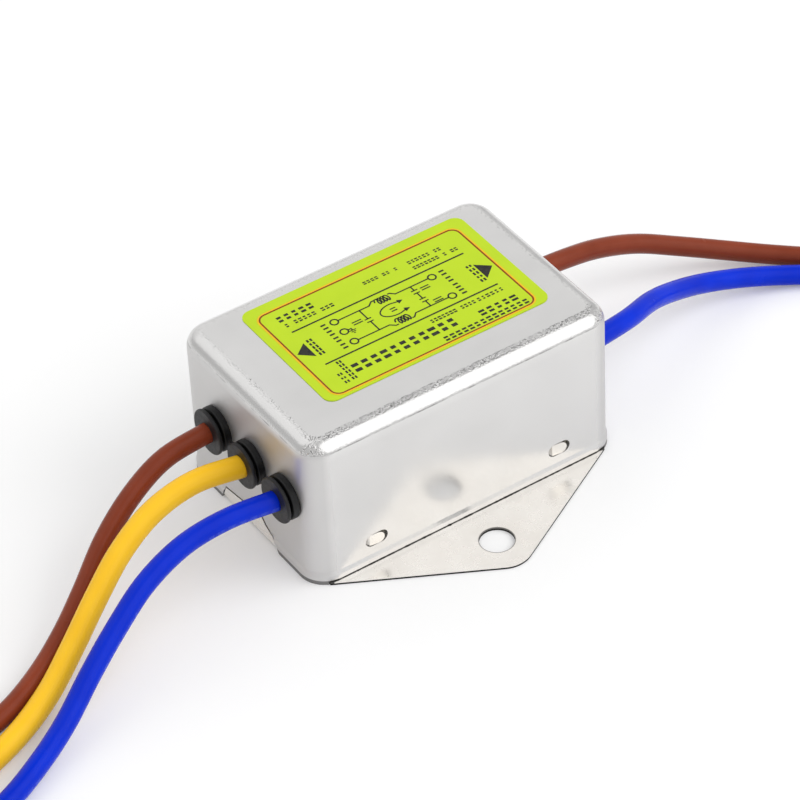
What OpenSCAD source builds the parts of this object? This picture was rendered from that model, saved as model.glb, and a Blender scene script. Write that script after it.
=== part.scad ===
// Chassis-mount mains line filter with flying leads, in millimetres.
// A drawn steel can closed by a folded base plate with two mounting ears. Three leads leave
// the line end at -X and two leave the load end at +X, each through a split bushing. Inside,
// a board in an insulating tray carries a common-mode choke, an X capacitor with its bleed
// resistor, two Y capacitors and the strap that ties their common point to the base plate.
// The origin is the middle of the underside, with +Z up.

/* [Can] */
// Length of the can over its end walls
case_l = 50.5; // [49:0.1:54]
// Width of the can over its long walls
case_w = 33.5; // [33.2:0.1:37]
// Height of the can from the resting face to its top
case_h = 24.6; // [23.8:0.1:30]
// Thickness of the can's sheet
case_t = 0.6; // [0.5:0.05:0.8]
// Outer radius of the upright corners
corner_r = 3.9; // [3.4:0.1:4.3]
// Outer radius of the bend round the top
top_r = 2.6; // [1.6:0.1:3]
// How far the mouth stands proud of the walls
flare = 0.2; // [0.1:0.05:0.3]
// Height of the straight part of the mouth
flare_h = 1.4; // [1:0.1:2]
// Height over which the mouth runs back into the wall
flare_run = 0.6; // [0.4:0.1:1]

/* [Latches] */
// Distance between the two latches on a long wall
latch_pitch = 30.6; // [28:0.2:32]
// Height of a latch's middle
latch_z = 4.45; // [4:0.05:5]
// Length of a latch window
latch_l = 3.6; // [3.2:0.1:4]
// Height of a latch window
latch_h = 2.1; // [1.8:0.1:2.4]
// Length of the tongue that fills it
tongue_l = 2.9; // [2.6:0.1:3.1]
// Space between the tongue's edges and its window
tongue_gap = 0.1; // [0.05:0.05:0.2]
// Depth of the tongue's face below the wall's, where it bends
tongue_deep = 0.1; // [0.05:0.05:0.2]
// How far the tongue's tip stands proud of the wall
tongue_proud = 0.15; // [0.05:0.05:0.2]

/* [Base plate] */
// Thickness of the base plate's sheet
plate_t = 0.5; // [0.4:0.05:0.6]
// Play between the plate's edge and the can's mouth
plate_fit = 0.1; // [0.05:0.05:0.2]
// Gap between the ears and the rim above them
rim_gap = 0.1; // [0.05:0.05:0.2]
// Length of an ear where it leaves the can
ear_root = 46.2; // [44:0.2:47]
// Distance from the middle of the can to the point where an ear's slanted edges would meet
ear_reach = 29.5; // [29:0.1:31]
// Radius of an ear's tip
ear_tip_r = 4.3; // [4:0.1:5]
// Distance between the two mounting holes
hole_pitch = 46.6; // [46:0.2:48]
// Diameter of a mounting hole
hole_d = 5; // [4:0.1:5.4]
// Width of a folded side tab
tab_w = 5.6; // [5:0.2:6.4]
// Height of a side tab above the resting face
tab_h = 7; // [6.6:0.1:8]
// Width of the cut beside a lanced tab
slit_w = 0.8; // [0.6:0.1:1]
// Outer radius of the plate's folds
fold_r = 0.9; // [0.7:0.1:1.1]
// Slit round an end tab
end_slit = 0.14; // [0.1:0.02:0.2]
// How far an end tab stands proud of the end wall
end_proud = 0.1; // [0:0.05:0.2]
// Width of an end tab
end_tab_w = 14.4; // [12:0.2:16]
// Height of an end tab at its high corner
end_tab_high = 3.9; // [3.4:0.1:4.2]
// Height of an end tab at its low corner
end_tab_low = 2.4; // [2:0.1:2.8]
// Distance of the high corner from the tab's edge
end_tab_rise = 4.2; // [3.8:0.1:5]
// Size of the cut on an end tab's corners
end_tab_cut = 1; // [0.6:0.1:1.1]

/* [Bushings] */
// Height of the bushings' axes
bush_z = 13.4; // [12.8:0.1:14.5]
// Y of the earth lead, in the middle of the line end
line_y = -2; // [-2.4:0.1:-1]
// Distance between neighbouring leads at the line end
line_pitch = 8.6; // [8.2:0.1:9]
// Y of the middle between the two leads at the load end
load_y = -0.65; // [-1.6:0.05:0]
// Distance between the two leads at the load end
load_pitch = 17.7; // [17:0.1:19]
// Diameter of a bushing's outer flange
flange_d = 6.9; // [6.6:0.1:7.2]
// Thickness of the outer flange
flange_t = 0.55; // [0.5:0.05:0.9]
// Diameter of the collar against the wall
collar_d = 6.7; // [6.4:0.1:7]
// Thickness of the collar
collar_t = 1.1; // [0.8:0.05:1.2]
// Width of the groove between flange and collar
groove_w = 0.4; // [0.3:0.05:0.5]
// Diameter of the low bushings of the load end
low_d = 6.4; // [6:0.1:6.6]
// Thickness of their only disc
low_t = 0.7; // [0.6:0.05:0.9]
// Diameter at the bottom of the groove
groove_d = 4.8; // [4.4:0.1:5]
// Diameter of the hole in the can
bush_hole_d = 4.6; // [4.4:0.1:4.8]
// Play between a bushing's neck and its hole, on the radius
bush_fit = 0.05; // [0.02:0.01:0.1]
// Diameter of the snap ring inside the can
snap_d = 5.6; // [5.2:0.1:5.8]
// Thickness of the snap ring
snap_t = 0.9; // [0.7:0.1:1.1]
// Play between the snap ring and the can
snap_play = 0.1; // [0.1:0.05:0.15]
// Edge rounding of the flange and collar
bush_round = 0.22; // [0.15:0.01:0.24]

/* [Leads] */
// Diameter of the current-carrying leads
lead_d = 3; // [2.8:0.05:3.1]
// Diameter of the earth lead
earth_d = 3.3; // [3.1:0.05:3.4]
// Play between a lead and its bushing, on the radius
lead_fit = 0.05; // [0.02:0.01:0.1]
// Diameter of the tinned conductor
wire_d = 1.2; // [1:0.05:1.3]
// Length of the stripped end
strip_l = 8; // [5:0.5:10]
// Bend radius of an inner tail
tail_bend_r = 3.6; // [3.4:0.1:3.8]
// Height of an inner tail's cut end above the board
tail_clear = 1.4; // [1:0.1:2]

/* [Label] */
// Length of the label
label_l = 36.8; // [30:0.2:40]
// Width of the label
label_w = 22.9; // [18:0.1:24]
// Thickness of the label
label_t = 0.1; // [0.05:0.05:0.2]
// Corner radius of the label
label_r = 1.6; // [1:0.1:2]
// Middle of the label along the can
label_x = 1.3; // [0:0.1:2]
// Middle of the label across the can
label_y = 1.9; // [0:0.1:2]

/* [Tray and board] */
// Wall of the insulating tray
tray_t = 0.6; // [0.5:0.05:0.8]
// Height of the tray's walls
tray_h = 6.6; // [6:0.1:7]
// Gap between the tray and the can's end walls
tray_end_gap = 0.4; // [0.3:0.1:0.6]
// Gap between the tray and the side tabs
tray_side_gap = 0.35; // [0.3:0.05:0.5]
// Height of the board's posts above the tray's floor
post_h = 2.6; // [2.4:0.1:3]
// Diameter of a board post
post_d = 3; // [2.6:0.1:3.4]
// Thickness of the board
board_t = 1.6; // [1.2:0.2:1.6]
// Gap between the board and the tray's walls
board_gap = 0.3; // [0.2:0.05:0.4]
// Gap between the earth strap and its hole in the tray
strap_gap = 0.5; // [0.4:0.1:0.8]
// Play of a pin in its hole in the board, on the radius
pin_fit = 0.1; // [0.05:0.05:0.15]
// How far a pin stands through the board
pin_out = 1.2; // [1:0.1:1.4]
// Radius of a solder fillet's foot beyond its pin
solder_w = 0.6; // [0.5:0.1:0.7]
// Height of a solder fillet
solder_h = 0.9; // [0.8:0.1:1]
// Thickness of the insulating sheet under the can's top
sheet_t = 0.25; // [0.2:0.05:0.4]

/* [Choke] */
// Outer diameter of the coated ring core
core_outer_d = 16.4; // [16:0.2:17]
// Inner diameter of the core
core_inner_d = 8.8; // [8.6:0.2:9]
// Height of the core
core_h = 8.4; // [8:0.2:9]
// Edge radius of the core's coating
core_r = 1.5; // [1.4:0.1:1.7]
// Diameter of the winding wire
wind_d = 0.8; // [0.7:0.05:0.85]
// Turns of each winding
turns = 10; // [6:1:10]
// Angle that one winding takes of the ring
wind_span = 146; // [120:2:150]
// Space between the winding and the core
wind_gap = 0.2; // [0.15:0.05:0.25]
// Thickness of the choke's base
choke_base_t = 1; // [0.8:0.1:1.4]
// Thickness of the divider between the windings
divider_t = 0.8; // [0.6:0.1:1]

/* [Capacitors and resistor] */
// Thickness of the X capacitor's box
xcap_t = 5; // [4.6:0.1:6]
// Width of the X capacitor's box
xcap_w = 17; // [15:0.5:18]
// Height of the X capacitor's box
xcap_h = 12.5; // [11:0.5:13.5]
// Distance between the X capacitor's pins
xcap_pitch = 15; // [12.5:0.5:15]
// Gap between neighbouring parts on the board
part_gap = 0.5; // [0.4:0.1:0.6]
// Diameter of a Y capacitor's disc
ycap_d = 7.6; // [7:0.1:8.4]
// Thickness of a Y capacitor's disc
ycap_t = 3; // [2.6:0.1:3.2]
// Distance between a Y capacitor's pins
ycap_pitch = 5; // [4.5:0.5:6]
// Distance between the middles of the two discs
ycap_spacing = 9.6; // [9:0.2:10.4]
// Height of the discs above the board
ycap_lift = 1; // [0.6:0.1:1.4]
// Diameter of the resistor's end caps
res_d = 2.4; // [2:0.1:2.6]
// Length of the resistor's body
res_l = 6.6; // [6:0.2:7]
// Length of an end cap of the resistor
res_cap = 1.4; // [1:0.1:1.8]
// Height of the resistor above the board
res_lift = 0.4; // [0.3:0.1:0.8]
// Distance between the resistor's pins
res_pitch = 11; // [10:0.5:12]
// Diameter of the component pins
pin_d = 0.7; // [0.6:0.05:0.8]

/* [Earth strap] */
// Width of the strap
strap_w = 3; // [2.4:0.1:3.4]
// Thickness of the strap
strap_t = 0.4; // [0.3:0.05:0.5]
// Length of the strap's foot on the base plate
strap_foot = 3; // [2.4:0.1:3.2]
// Y of the strap
strap_y = -1; // [-2:0.1:0]

/* [Hidden] */
$fn = 48;

// ---- derived sizes ----
in_l = case_l - 2 * case_t;
in_w = case_w - 2 * case_t;
in_r = corner_r - case_t;
in_h = case_h - case_t;
mouth_l = in_l + 2 * flare;
mouth_w = in_w + 2 * flare;

plate_l = mouth_l - 2 * plate_fit;
plate_w = mouth_w - 2 * plate_fit;
plate_r = in_r + flare - plate_fit;
ear_slope = atan2(ear_reach - case_w / 2, ear_root / 2);
ear_tip_y = ear_reach - ear_tip_r / cos(ear_slope);
tab_y = in_w / 2 - plate_fit;
tab_fold_y = tab_y - plate_t + fold_r;
tab_depth = case_w / 2 - tab_y;
tongue_bend_x = tongue_gap + tab_depth - tongue_deep;
tab_blank = tab_h - fold_r + PI / 2 * (fold_r - plate_t / 2);
end_fold_x = case_l / 2 + end_proud - fold_r;

bush_out = collar_t + groove_w + flange_t;
snap_in = case_t + snap_play + snap_t;
tail_bend_x = case_l / 2 - snap_in;
tail_x = tail_bend_x - tail_bend_r;

tray_l = in_l - 2 * tray_end_gap;
tray_w = 2 * (tab_y - plate_t - tray_side_gap);
tray_r = in_r;
board_l = tray_l - 2 * (tray_t + board_gap);
board_w = tray_w - 2 * (tray_t + board_gap);
board_r = tray_r - tray_t - board_gap;
tray_z = plate_t;
board_z = tray_z + tray_t + post_h;
top_z = board_z + board_t;
pin_z = board_z - pin_out;

wind_r = wind_d / 2;
core_z = top_z + choke_base_t + wind_d + wind_gap + core_h / 2;
ring_r = (core_outer_d + core_inner_d) / 4;
ring_w = (core_outer_d - core_inner_d) / 2;
turn_a = ring_w / 2 + wind_gap + wind_r;
turn_b = core_h / 2 + wind_gap + wind_r;
choke_r = ring_r + turn_a + wind_r;
choke_base_r = choke_r + wind_gap;

// The parts stand in a row between the two rows of tails, and the choke has the middle of its space.
xcap_x = -tail_x + max(lead_d, earth_d) / 2 + part_gap + xcap_t / 2;
res_x = xcap_x + xcap_t / 2 + part_gap + res_d / 2;
ycap_x = tail_x - lead_d / 2 - part_gap - ycap_t / 2;
choke_x = (res_x + res_d / 2 + ycap_x - ycap_t / 2) / 2;

// Leads as [Y, direction along X, diameter]: each lead's bushing and tail share these.
line_live = [line_y + line_pitch, -1, lead_d];
line_earth = [line_y, -1, earth_d];
line_neutral = [line_y - line_pitch, -1, lead_d];
load_live = [load_y + load_pitch / 2, 1, lead_d];
load_neutral = [load_y - load_pitch / 2, 1, lead_d];
LEADS = [line_live, line_earth, line_neutral, load_live, load_neutral];

// Distance from the middle of the can to the outer face of a lead's bushing.
function exit_x(lead) = case_l / 2 + (lead[1] < 0 ? bush_out : low_t);

// Pins through the board as [x, y, radius].
wind_ends = [for (side = [-1, 1], end = [0, 1]) wind_foot(side, end)];
PINS = concat(
    [for (lead = LEADS) [lead[1] * tail_x, lead[0], wire_d / 2]],
    [for (foot = wind_ends) [foot[0], foot[1], wind_r]],
    [for (s = [-1, 1]) [xcap_x, s * xcap_pitch / 2, pin_d / 2]],
    [for (s = [-1, 1]) [res_x, s * res_pitch / 2, pin_d / 2]],
    [for (s = [-1, 1], t = [-1, 1]) [ycap_x, s * ycap_spacing / 2 + t * ycap_pitch / 2, pin_d / 2]]
);

// Routes of the five leads from their bushings to the stripped ends, chosen by hand. Each
// leaves straight, falls to the surface within about 40 mm and then lies on it.
ROUTE_LINE_LIVE = [
    [-27.3, 6.6, 13.4], [-34.5, 6, 13], [-41, 4.1, 11.3], [-47.5, 1, 8.8],
    [-53.5, -3, 6], [-59, -6.6, 3.9], [-65, -10, 2.4], [-71.5, -13, 1.8],
    [-78.5, -14.7, 1.6], [-86, -15, 1.5], [-93.5, -14, 1.5], [-100.5, -11.5, 1.5],
    [-107, -8, 1.5], [-113, -3.5, 1.5], [-118, 2, 1.5], [-122, 8, 1.5]
];
ROUTE_LINE_EARTH = [
    [-27.3, -2, 13.4], [-34.5, -1.6, 14.1], [-41.5, -2.3, 13.1], [-48, -4.5, 11.1],
    [-54, -7.5, 8.2], [-60, -10.9, 5.2], [-66, -14.4, 3], [-72.5, -17.5, 1.85],
    [-79.5, -20.1, 1.7], [-87, -21.5, 1.65], [-94.5, -21.5, 1.65], [-102, -20, 1.65],
    [-109, -17, 1.65], [-115.5, -13, 1.65], [-121, -8, 1.65], [-125.5, -2, 1.65]
];
ROUTE_LINE_NEUTRAL = [
    [-27.3, -10.6, 13.4], [-34.5, -10.1, 13.7], [-41.5, -10.2, 12.9], [-48.5, -11.8, 11.2],
    [-55, -14.4, 8.5], [-61, -17.3, 5.8], [-67, -20.7, 3.3], [-73, -23.9, 2.1],
    [-79.5, -27, 1.7], [-86.5, -29, 1.5], [-94, -30, 1.5], [-101.5, -29.5, 1.5],
    [-109, -27.5, 1.5], [-116, -24.5, 1.5], [-122.5, -20.5, 1.5], [-128, -15.5, 1.5]
];
ROUTE_LOAD_LIVE = [
    [25.95, 8.2, 13.4], [34.5, 8.9, 12.2], [41.5, 9.9, 10.2], [48.5, 9.9, 7.7],
    [55, 8.3, 5.1], [61.5, 5.6, 2.9], [67.5, 1.5, 1.8], [73, -2.9, 1.5],
    [79, -6.7, 1.5], [85.5, -9.6, 1.5], [92.5, -11.5, 1.5], [100, -12, 1.5],
    [107.5, -11, 1.5], [114.5, -8.5, 1.5], [121, -5, 1.5], [127, -0.5, 1.5]
];
ROUTE_LOAD_NEUTRAL = [
    [25.95, -9.5, 13.4], [34, -7.5, 12.3], [40.5, -4.4, 10.3], [46.5, -2.1, 7.7],
    [53, -0.7, 5], [60, -1.2, 2.9], [66.5, -3.7, 1.8], [72.5, -7.6, 1.5],
    [78.5, -12, 1.5], [85, -15.5, 1.5], [92, -18, 1.5], [99.5, -19.5, 1.5],
    [107, -19.5, 1.5], [114.5, -18, 1.5], [121.5, -15, 1.5], [128, -11, 1.5]
];
LEAD_SIDES = 8;

// ---- helpers ----
function unit(v) = v / norm(v);

// Direction of a path at point i, with the first one given.
function heading(path, i, first) =
    i == 0 ? first :
    i == len(path) - 1 ? unit(path[i] - path[i - 1]) :
    unit(path[i + 1] - path[i - 1]);

// One ring of points round p, square to the direction d. The vector ref settles its turn.
function ring(p, d, ref, r, sides) =
    let (u = unit(cross(d, ref)), v = cross(d, u))
    [for (k = [0 : sides - 1]) p + r * (cos(360 * k / sides) * u + sin(360 * k / sides) * v)];

// A tube along a path: one closed polyhedron, with a reference vector for each point.
module tube(path, refs, r, sides, first) {
    n = len(path);
    points = [for (i = [0 : n - 1]) each ring(path[i], heading(path, i, first), refs[i], r, sides)];
    walls = [
        for (i = [0 : n - 2], k = [0 : sides - 1])
        let (a = i * sides + k, b = i * sides + (k + 1) % sides)
        each [[a, a + sides, b], [b, a + sides, b + sides]]
    ];
    start = [[for (k = [0 : sides - 1]) k]];
    end = [[for (k = [sides - 1 : -1 : 0]) (n - 1) * sides + k]];
    polyhedron(points, concat(walls, start, end), convexity = 10);
}

module rounded_rect(l, w, r) {
    square([l - 2 * r, w], center = true);
    square([l, w - 2 * r], center = true);
    for (sx = [-1, 1], sy = [-1, 1])
        translate([sx * (l / 2 - r), sy * (w / 2 - r)]) circle(r);
}

module rounded_slab(l, w, r, t) {
    linear_extrude(t) rounded_rect(l, w, r);
}

// Half section of a drawn box from its corner axis outwards: a wall, its mouth and its top bend.
module drawn_section(reach, h, bend, mouth) {
    difference() {
        union() {
            square([reach, h - bend]);
            square([reach - bend, h]);
            translate([reach - bend, h - bend]) circle(bend);
        }
        translate([-2 * bend, -bend]) square([2 * bend, h + 2 * bend]);
    }
    square([reach + mouth, flare_h]);
    polygon([
        [0, flare_h], [reach + mouth, flare_h],
        [reach, flare_h + flare_run], [0, flare_h + flare_run]
    ]);
}

// A solid box with round upright corners, a bent top edge and a proud mouth.
module drawn_box(l, w, r, h, bend, mouth) {
    for (sx = [-1, 1], sy = [-1, 1])
        translate([sx * (l / 2 - r), sy * (w / 2 - r), 0])
            rotate_extrude() drawn_section(r, h, bend, mouth);
    for (s = [0, 1])
        mirror([s, 0, 0]) rotate([90, 0, 0])
            linear_extrude(w - 2 * r, center = true) drawn_section(l / 2, h, bend, mouth);
    for (s = [-1, 1])
        rotate([90, 0, s * 90])
            linear_extrude(l - 2 * r, center = true) drawn_section(w / 2, h, bend, mouth);
}

// ---- can ----
module latch_outline(l, h) {
    translate([h / 2, -h / 2]) square([l - h, h]);
    for (x = [h / 2, l - h / 2]) translate([x, 0]) circle(h / 2);
}

// A latch window's outline stands on the near wall, from its hinge end towards +X.
module at_latch(x) {
    translate([x - latch_l / 2, -case_w / 2, latch_z]) children();
}

// Outline of an end tab in the YZ plane: its top slopes, and its corners are cut back.
module end_tab_outline(grow) {
    half = end_tab_w / 2 + grow;
    high = end_tab_high + grow;
    peak = end_tab_rise - half;
    polygon([
        [-half, 0], [1.5 * end_tab_cut - half, 2 * end_tab_cut],
        [peak - end_tab_cut, high - end_tab_cut], [peak, high],
        [half - end_tab_cut, end_tab_low + grow], [half, 0]
    ]);
}

// The outline as a block along X at the line end, and turned half round at the load end.
module at_ends() {
    for (s = [0, 1]) rotate([0, 0, 180 * s]) children();
}

module end_block(grow) {
    translate([-case_l, 0, 0]) rotate([90, 0, 90])
        linear_extrude(case_l / 2 + 2 * case_t) end_tab_outline(grow);
}

module case_shell() {
    color([0.8, 0.8, 0.79]) difference() {
        drawn_box(case_l, case_w, corner_r, case_h, top_r, flare);
        drawn_box(in_l, in_w, in_r, in_h, top_r - case_t, flare);
        for (lead = LEADS)
            translate([lead[1] * (case_l / 2 - case_t / 2), lead[0], bush_z])
                rotate([0, 90, 0]) cylinder(h = 3 * case_t, d = bush_hole_d, center = true);
        for (s = [0, 1], x = [-1, 1]) mirror([0, s, 0])
            at_latch(x * latch_pitch / 2) rotate([90, 0, 0])
                linear_extrude(3 * case_t, center = true) latch_outline(latch_l, latch_h);
        cube([ear_root + 2 * rim_gap, 2 * case_w, 2 * (plate_t + rim_gap)], center = true);
        at_ends() end_block(end_slit);
    }
}

// ---- base plate ----
module ear_outline() {
    tip = [ear_tip_r * sin(ear_slope), ear_tip_y + ear_tip_r * cos(ear_slope)];
    difference() {
        union() {
            polygon([
                [-ear_root / 2, case_w / 2], [-tip[0], tip[1]],
                [tip[0], tip[1]], [ear_root / 2, case_w / 2],
                [ear_root / 2, 0], [-ear_root / 2, 0]
            ]);
            translate([0, ear_tip_y]) circle(ear_tip_r);
        }
        translate([0, hole_pitch / 2]) circle(d = hole_d);
    }
}

module plate_outline() {
    difference() {
        union() {
            rounded_rect(plate_l, plate_w, plate_r);
            for (s = [0, 1]) mirror([0, s, 0]) ear_outline();
        }
        for (sx = [-1, 1], sy = [-1, 1])
            translate([sx * latch_pitch / 2, sy * (tab_fold_y - tab_blank / 2)])
                square([tab_w + 2 * slit_w, tab_blank], center = true);
        for (s = [-1, 1])
            translate([s * (end_fold_x + plate_r / 2), 0]) square([plate_r, end_tab_w], center = true);
    }
}

// Section of a sheet that comes in from the left and is folded up to stand h high.
module fold_section(h) {
    translate([-slit_w, 0]) square([slit_w, plate_t]);
    translate([0, fold_r]) intersection() {
        difference() {
            circle(fold_r);
            circle(fold_r - plate_t);
        }
        translate([0, -fold_r]) square(fold_r);
    }
    translate([fold_r - plate_t, fold_r]) square([plate_t, h - fold_r]);
}

// A tongue's section seen from above, with the depth below the can's face as y: it bends out
// of the side tab and runs on to its proud tip.
module tongue_section() {
    tip = tongue_gap + tongue_l;
    bend = plate_t * tan(22.5);
    polygon([
        [0, tab_depth], [tongue_gap, tab_depth], [tongue_bend_x, tongue_deep],
        [tip, -tongue_proud], [tip, plate_t - tongue_proud],
        [tongue_bend_x + bend, plate_t + tongue_deep],
        [tongue_gap + bend, plate_t + tab_depth], [0, plate_t + tab_depth]
    ]);
}

module tongue() {
    intersection() {
        linear_extrude(latch_h, center = true) tongue_section();
        rotate([90, 0, 0]) linear_extrude(6 * case_t, center = true)
            translate([tongue_gap, 0]) latch_outline(tongue_l, latch_h - 2 * tongue_gap);
    }
}

// A side tab, lanced from the plate and folded up just inside the near long wall. Its own
// lanced tongue springs out into the can's window.
module side_tab() {
    difference() {
        translate([0, -tab_fold_y, 0]) rotate([90, 0, 90]) linear_extrude(tab_w, center = true)
            fold_section(tab_h);
        at_latch(0) rotate([90, 0, 0]) linear_extrude(6 * case_t, center = true)
            intersection() {
                latch_outline(latch_l, latch_h);
                translate([tongue_bend_x, -latch_h]) square([latch_l, 2 * latch_h]);
            }
    }
    at_latch(0) tongue();
}

// The end tab of the line end, folded up in the can's notch.
module end_tab() {
    intersection() {
        translate([-end_fold_x, 0, 0]) rotate([90, 0, 180]) linear_extrude(end_tab_w, center = true)
            fold_section(end_tab_high);
        end_block(0);
    }
}

module base_plate() {
    color([0.84, 0.83, 0.82]) {
        linear_extrude(plate_t) plate_outline();
        for (sx = [-1, 1], sy = [0, 1]) mirror([0, sy, 0])
            translate([sx * latch_pitch / 2, 0, 0]) side_tab();
        at_ends() end_tab();
    }
}

// ---- label ----
module label() {
    color([0.77, 0.88, 0.12])
        translate([label_x, label_y, case_h]) rounded_slab(label_l, label_w, label_r, label_t);
}

// ---- bushings ----
// A disc's half section with rounded rim, from height z up.
module disc_section(d, t, z) {
    translate([0, z]) square([d / 2 - bush_round, t]);
    translate([0, z + bush_round]) square([d / 2, t - 2 * bush_round]);
    for (y = [bush_round, t - bush_round])
        translate([d / 2 - bush_round, z + y]) circle(bush_round);
}

// What shows of the line end's bushings: a collar on the wall, a groove and a thin flange.
module flanged_head() {
    disc_section(collar_d, collar_t, 0);
    translate([0, collar_t - bush_round]) square([groove_d / 2, groove_w + 2 * bush_round]);
    disc_section(flange_d, flange_t, collar_t + groove_w);
}

// The bushing's axis is +Z, with z = 0 on the can's outer face. The child is its head.
module bushing_solid(bore_d) {
    rotate_extrude() difference() {
        union() {
            children();
            translate([0, -snap_in + bush_round]) square([bush_hole_d / 2 - bush_fit, snap_in]);
            polygon([
                [0, -snap_in], [groove_d / 2, -snap_in],
                [snap_d / 2, -case_t - snap_play - bush_round],
                [snap_d / 2, -case_t - snap_play], [0, -case_t - snap_play]
            ]);
        }
        translate([-flange_d, -2 * snap_in]) square([flange_d + bore_d / 2, 4 * snap_in]);
    }
}

module bushing(lead) {
    color([0.16, 0.16, 0.17])
        translate([lead[1] * case_l / 2, lead[0], bush_z]) rotate([0, 90 * lead[1], 0])
            bushing_solid(lead[2] + 2 * lead_fit)
                if (lead[1] < 0) flanged_head();
                else disc_section(low_d, low_t, 0);
}

module bush_line_live() { bushing(line_live); }
module bush_line_earth() { bushing(line_earth); }
module bush_line_neutral() { bushing(line_neutral); }
module bush_load_live() { bushing(load_live); }
module bush_load_neutral() { bushing(load_neutral); }

// ---- inner tails: the leads' ends inside, bent down to the board ----
module tail(lead, shade) {
    cut_z = top_z + tail_clear;
    translate([0, lead[0], 0]) mirror([lead[1] + 1, 0, 0]) {
        color(shade) {
            translate([-exit_x(lead), 0, bush_z]) rotate([0, 90, 0])
                cylinder(h = exit_x(lead) - tail_bend_x, d = lead[2]);
            translate([-tail_bend_x, 0, bush_z - tail_bend_r]) rotate([90, 0, 0])
                rotate_extrude(angle = 90) translate([tail_bend_r, 0]) circle(d = lead[2]);
            translate([-tail_x, 0, cut_z]) cylinder(h = bush_z - tail_bend_r - cut_z, d = lead[2]);
        }
        color([0.85, 0.85, 0.85])
            translate([-tail_x, 0, pin_z]) cylinder(h = cut_z - pin_z + wire_d, d = wire_d);
    }
}

BROWN = [0.49, 0.24, 0.18];
YELLOW = [1, 0.78, 0.17];
BLUE = [0.02, 0.14, 0.75];

module tail_line_live() { tail(line_live, BROWN); }
module tail_line_earth() { tail(line_earth, YELLOW); }
module tail_line_neutral() { tail(line_neutral, BLUE); }
module tail_load_live() { tail(load_live, BROWN); }
module tail_load_neutral() { tail(load_neutral, BLUE); }

// ---- tray and board ----
module tray() {
    post_x = board_l / 2 - post_d / 2;
    post_y = board_w / 2 - post_d / 2;
    color([0.9, 0.9, 0.86]) translate([0, 0, tray_z]) {
        difference() {
            rounded_slab(tray_l, tray_w, tray_r, tray_h);
            translate([0, 0, tray_t])
                rounded_slab(tray_l - 2 * tray_t, tray_w - 2 * tray_t, tray_r - tray_t, tray_h);
            translate([tail_x + strap_t / 2 - strap_foot / 2, strap_y, 0])
                cube([strap_foot + 2 * strap_gap, strap_w + 2 * strap_gap, 3 * tray_t], center = true);
        }
        for (sx = [-1, 1], sy = [-1, 1])
            translate([sx * post_x, sy * post_y, 0]) cylinder(h = tray_t + post_h, d = post_d);
    }
}

module board() {
    color([0.72, 0.55, 0.3]) difference() {
        translate([0, 0, board_z]) rounded_slab(board_l, board_w, board_r, board_t);
        for (pin = PINS)
            translate([pin[0], pin[1], board_z + board_t / 2])
                cylinder(h = 2 * board_t, r = pin[2] + pin_fit, center = true);
        translate([tail_x, strap_y, board_z + board_t / 2])
            cube([strap_t + 2 * pin_fit, strap_w + 2 * pin_fit, 2 * board_t], center = true);
    }
}

// A solder fillet's half section, from its pin's surface outwards and down from the board.
module fillet_section(r) {
    polygon([[r, 0], [r + solder_w, 0], [r + solder_w / 3, -pin_out / 2], [r, -solder_h]]);
}

// Fillets round the pins on the board's underside, and one on each side of the strap.
module solder() {
    color([0.75, 0.75, 0.76]) translate([0, 0, board_z]) {
        for (pin = PINS)
            translate([pin[0], pin[1], 0]) rotate_extrude() fillet_section(pin[2]);
        for (s = [0, 1])
            translate([tail_x, strap_y, 0]) mirror([s, 0, 0]) rotate([90, 0, 0])
                linear_extrude(strap_w, center = true) fillet_section(strap_t / 2);
    }
}

module earth_strap() {
    color([0.8, 0.8, 0.78]) translate([tail_x, strap_y, 0]) {
        translate([-strap_t / 2, -strap_w / 2, plate_t])
            cube([strap_t, strap_w, top_z + strap_t - plate_t]);
        translate([-strap_foot + strap_t / 2, -strap_w / 2, plate_t])
            cube([strap_foot, strap_w, strap_t]);
    }
}

// An insulating sheet on the flat of the can's underside.
module top_sheet() {
    color([0.88, 0.86, 0.7]) translate([0, 0, in_h - sheet_t])
        rounded_slab(in_l - 2 * top_r, in_w - 2 * top_r, in_r - case_t, sheet_t);
}

// ---- choke ----
// Place on a winding after s turns: side -1 is the winding at -Y, and +1 the one at +Y.
function wind_angle(side, s) = side * 90 + wind_span * (s / turns - 0.5);
function rounded_power(x) = sign(x) * sqrt(abs(x));
function wind_point(side, s) =
    let (
        a = wind_angle(side, s),
        q = 360 * s,
        r = ring_r + turn_a * rounded_power(cos(q)),
        z = core_z + turn_b * rounded_power(sin(q))
    )
    [choke_x + r * cos(a), r * sin(a), z];
function wind_ref(side, s) =
    let (a = wind_angle(side, s)) [-sin(a), cos(a), 0];
function wind_foot(side, end) =
    let (a = wind_angle(side, end * (turns - 0.1)), r = ring_r + turn_a)
    [choke_x + r * cos(a), r * sin(a)];

TURN_STEPS = 12;

module winding(side) {
    first_foot = wind_foot(side, 0);
    last_foot = wind_foot(side, 1);
    last = turns - 0.1;
    steps = [for (i = [0 : TURN_STEPS * turns - 2]) i / TURN_STEPS];
    path = concat(
        [[first_foot[0], first_foot[1], pin_z], [first_foot[0], first_foot[1], core_z - turn_b / 2]],
        [for (s = steps) wind_point(side, s)],
        [[last_foot[0], last_foot[1], core_z - turn_b - wind_r], [last_foot[0], last_foot[1], pin_z]]
    );
    refs = concat(
        [wind_ref(side, 0), wind_ref(side, 0)],
        [for (s = steps) wind_ref(side, s)],
        [wind_ref(side, last), wind_ref(side, last)]
    );
    color([0.62, 0.3, 0.14]) tube(path, refs, wind_r, 6, [0, 0, 1]);
}

module winding_live() { winding(1); }
module winding_neutral() { winding(-1); }

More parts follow.
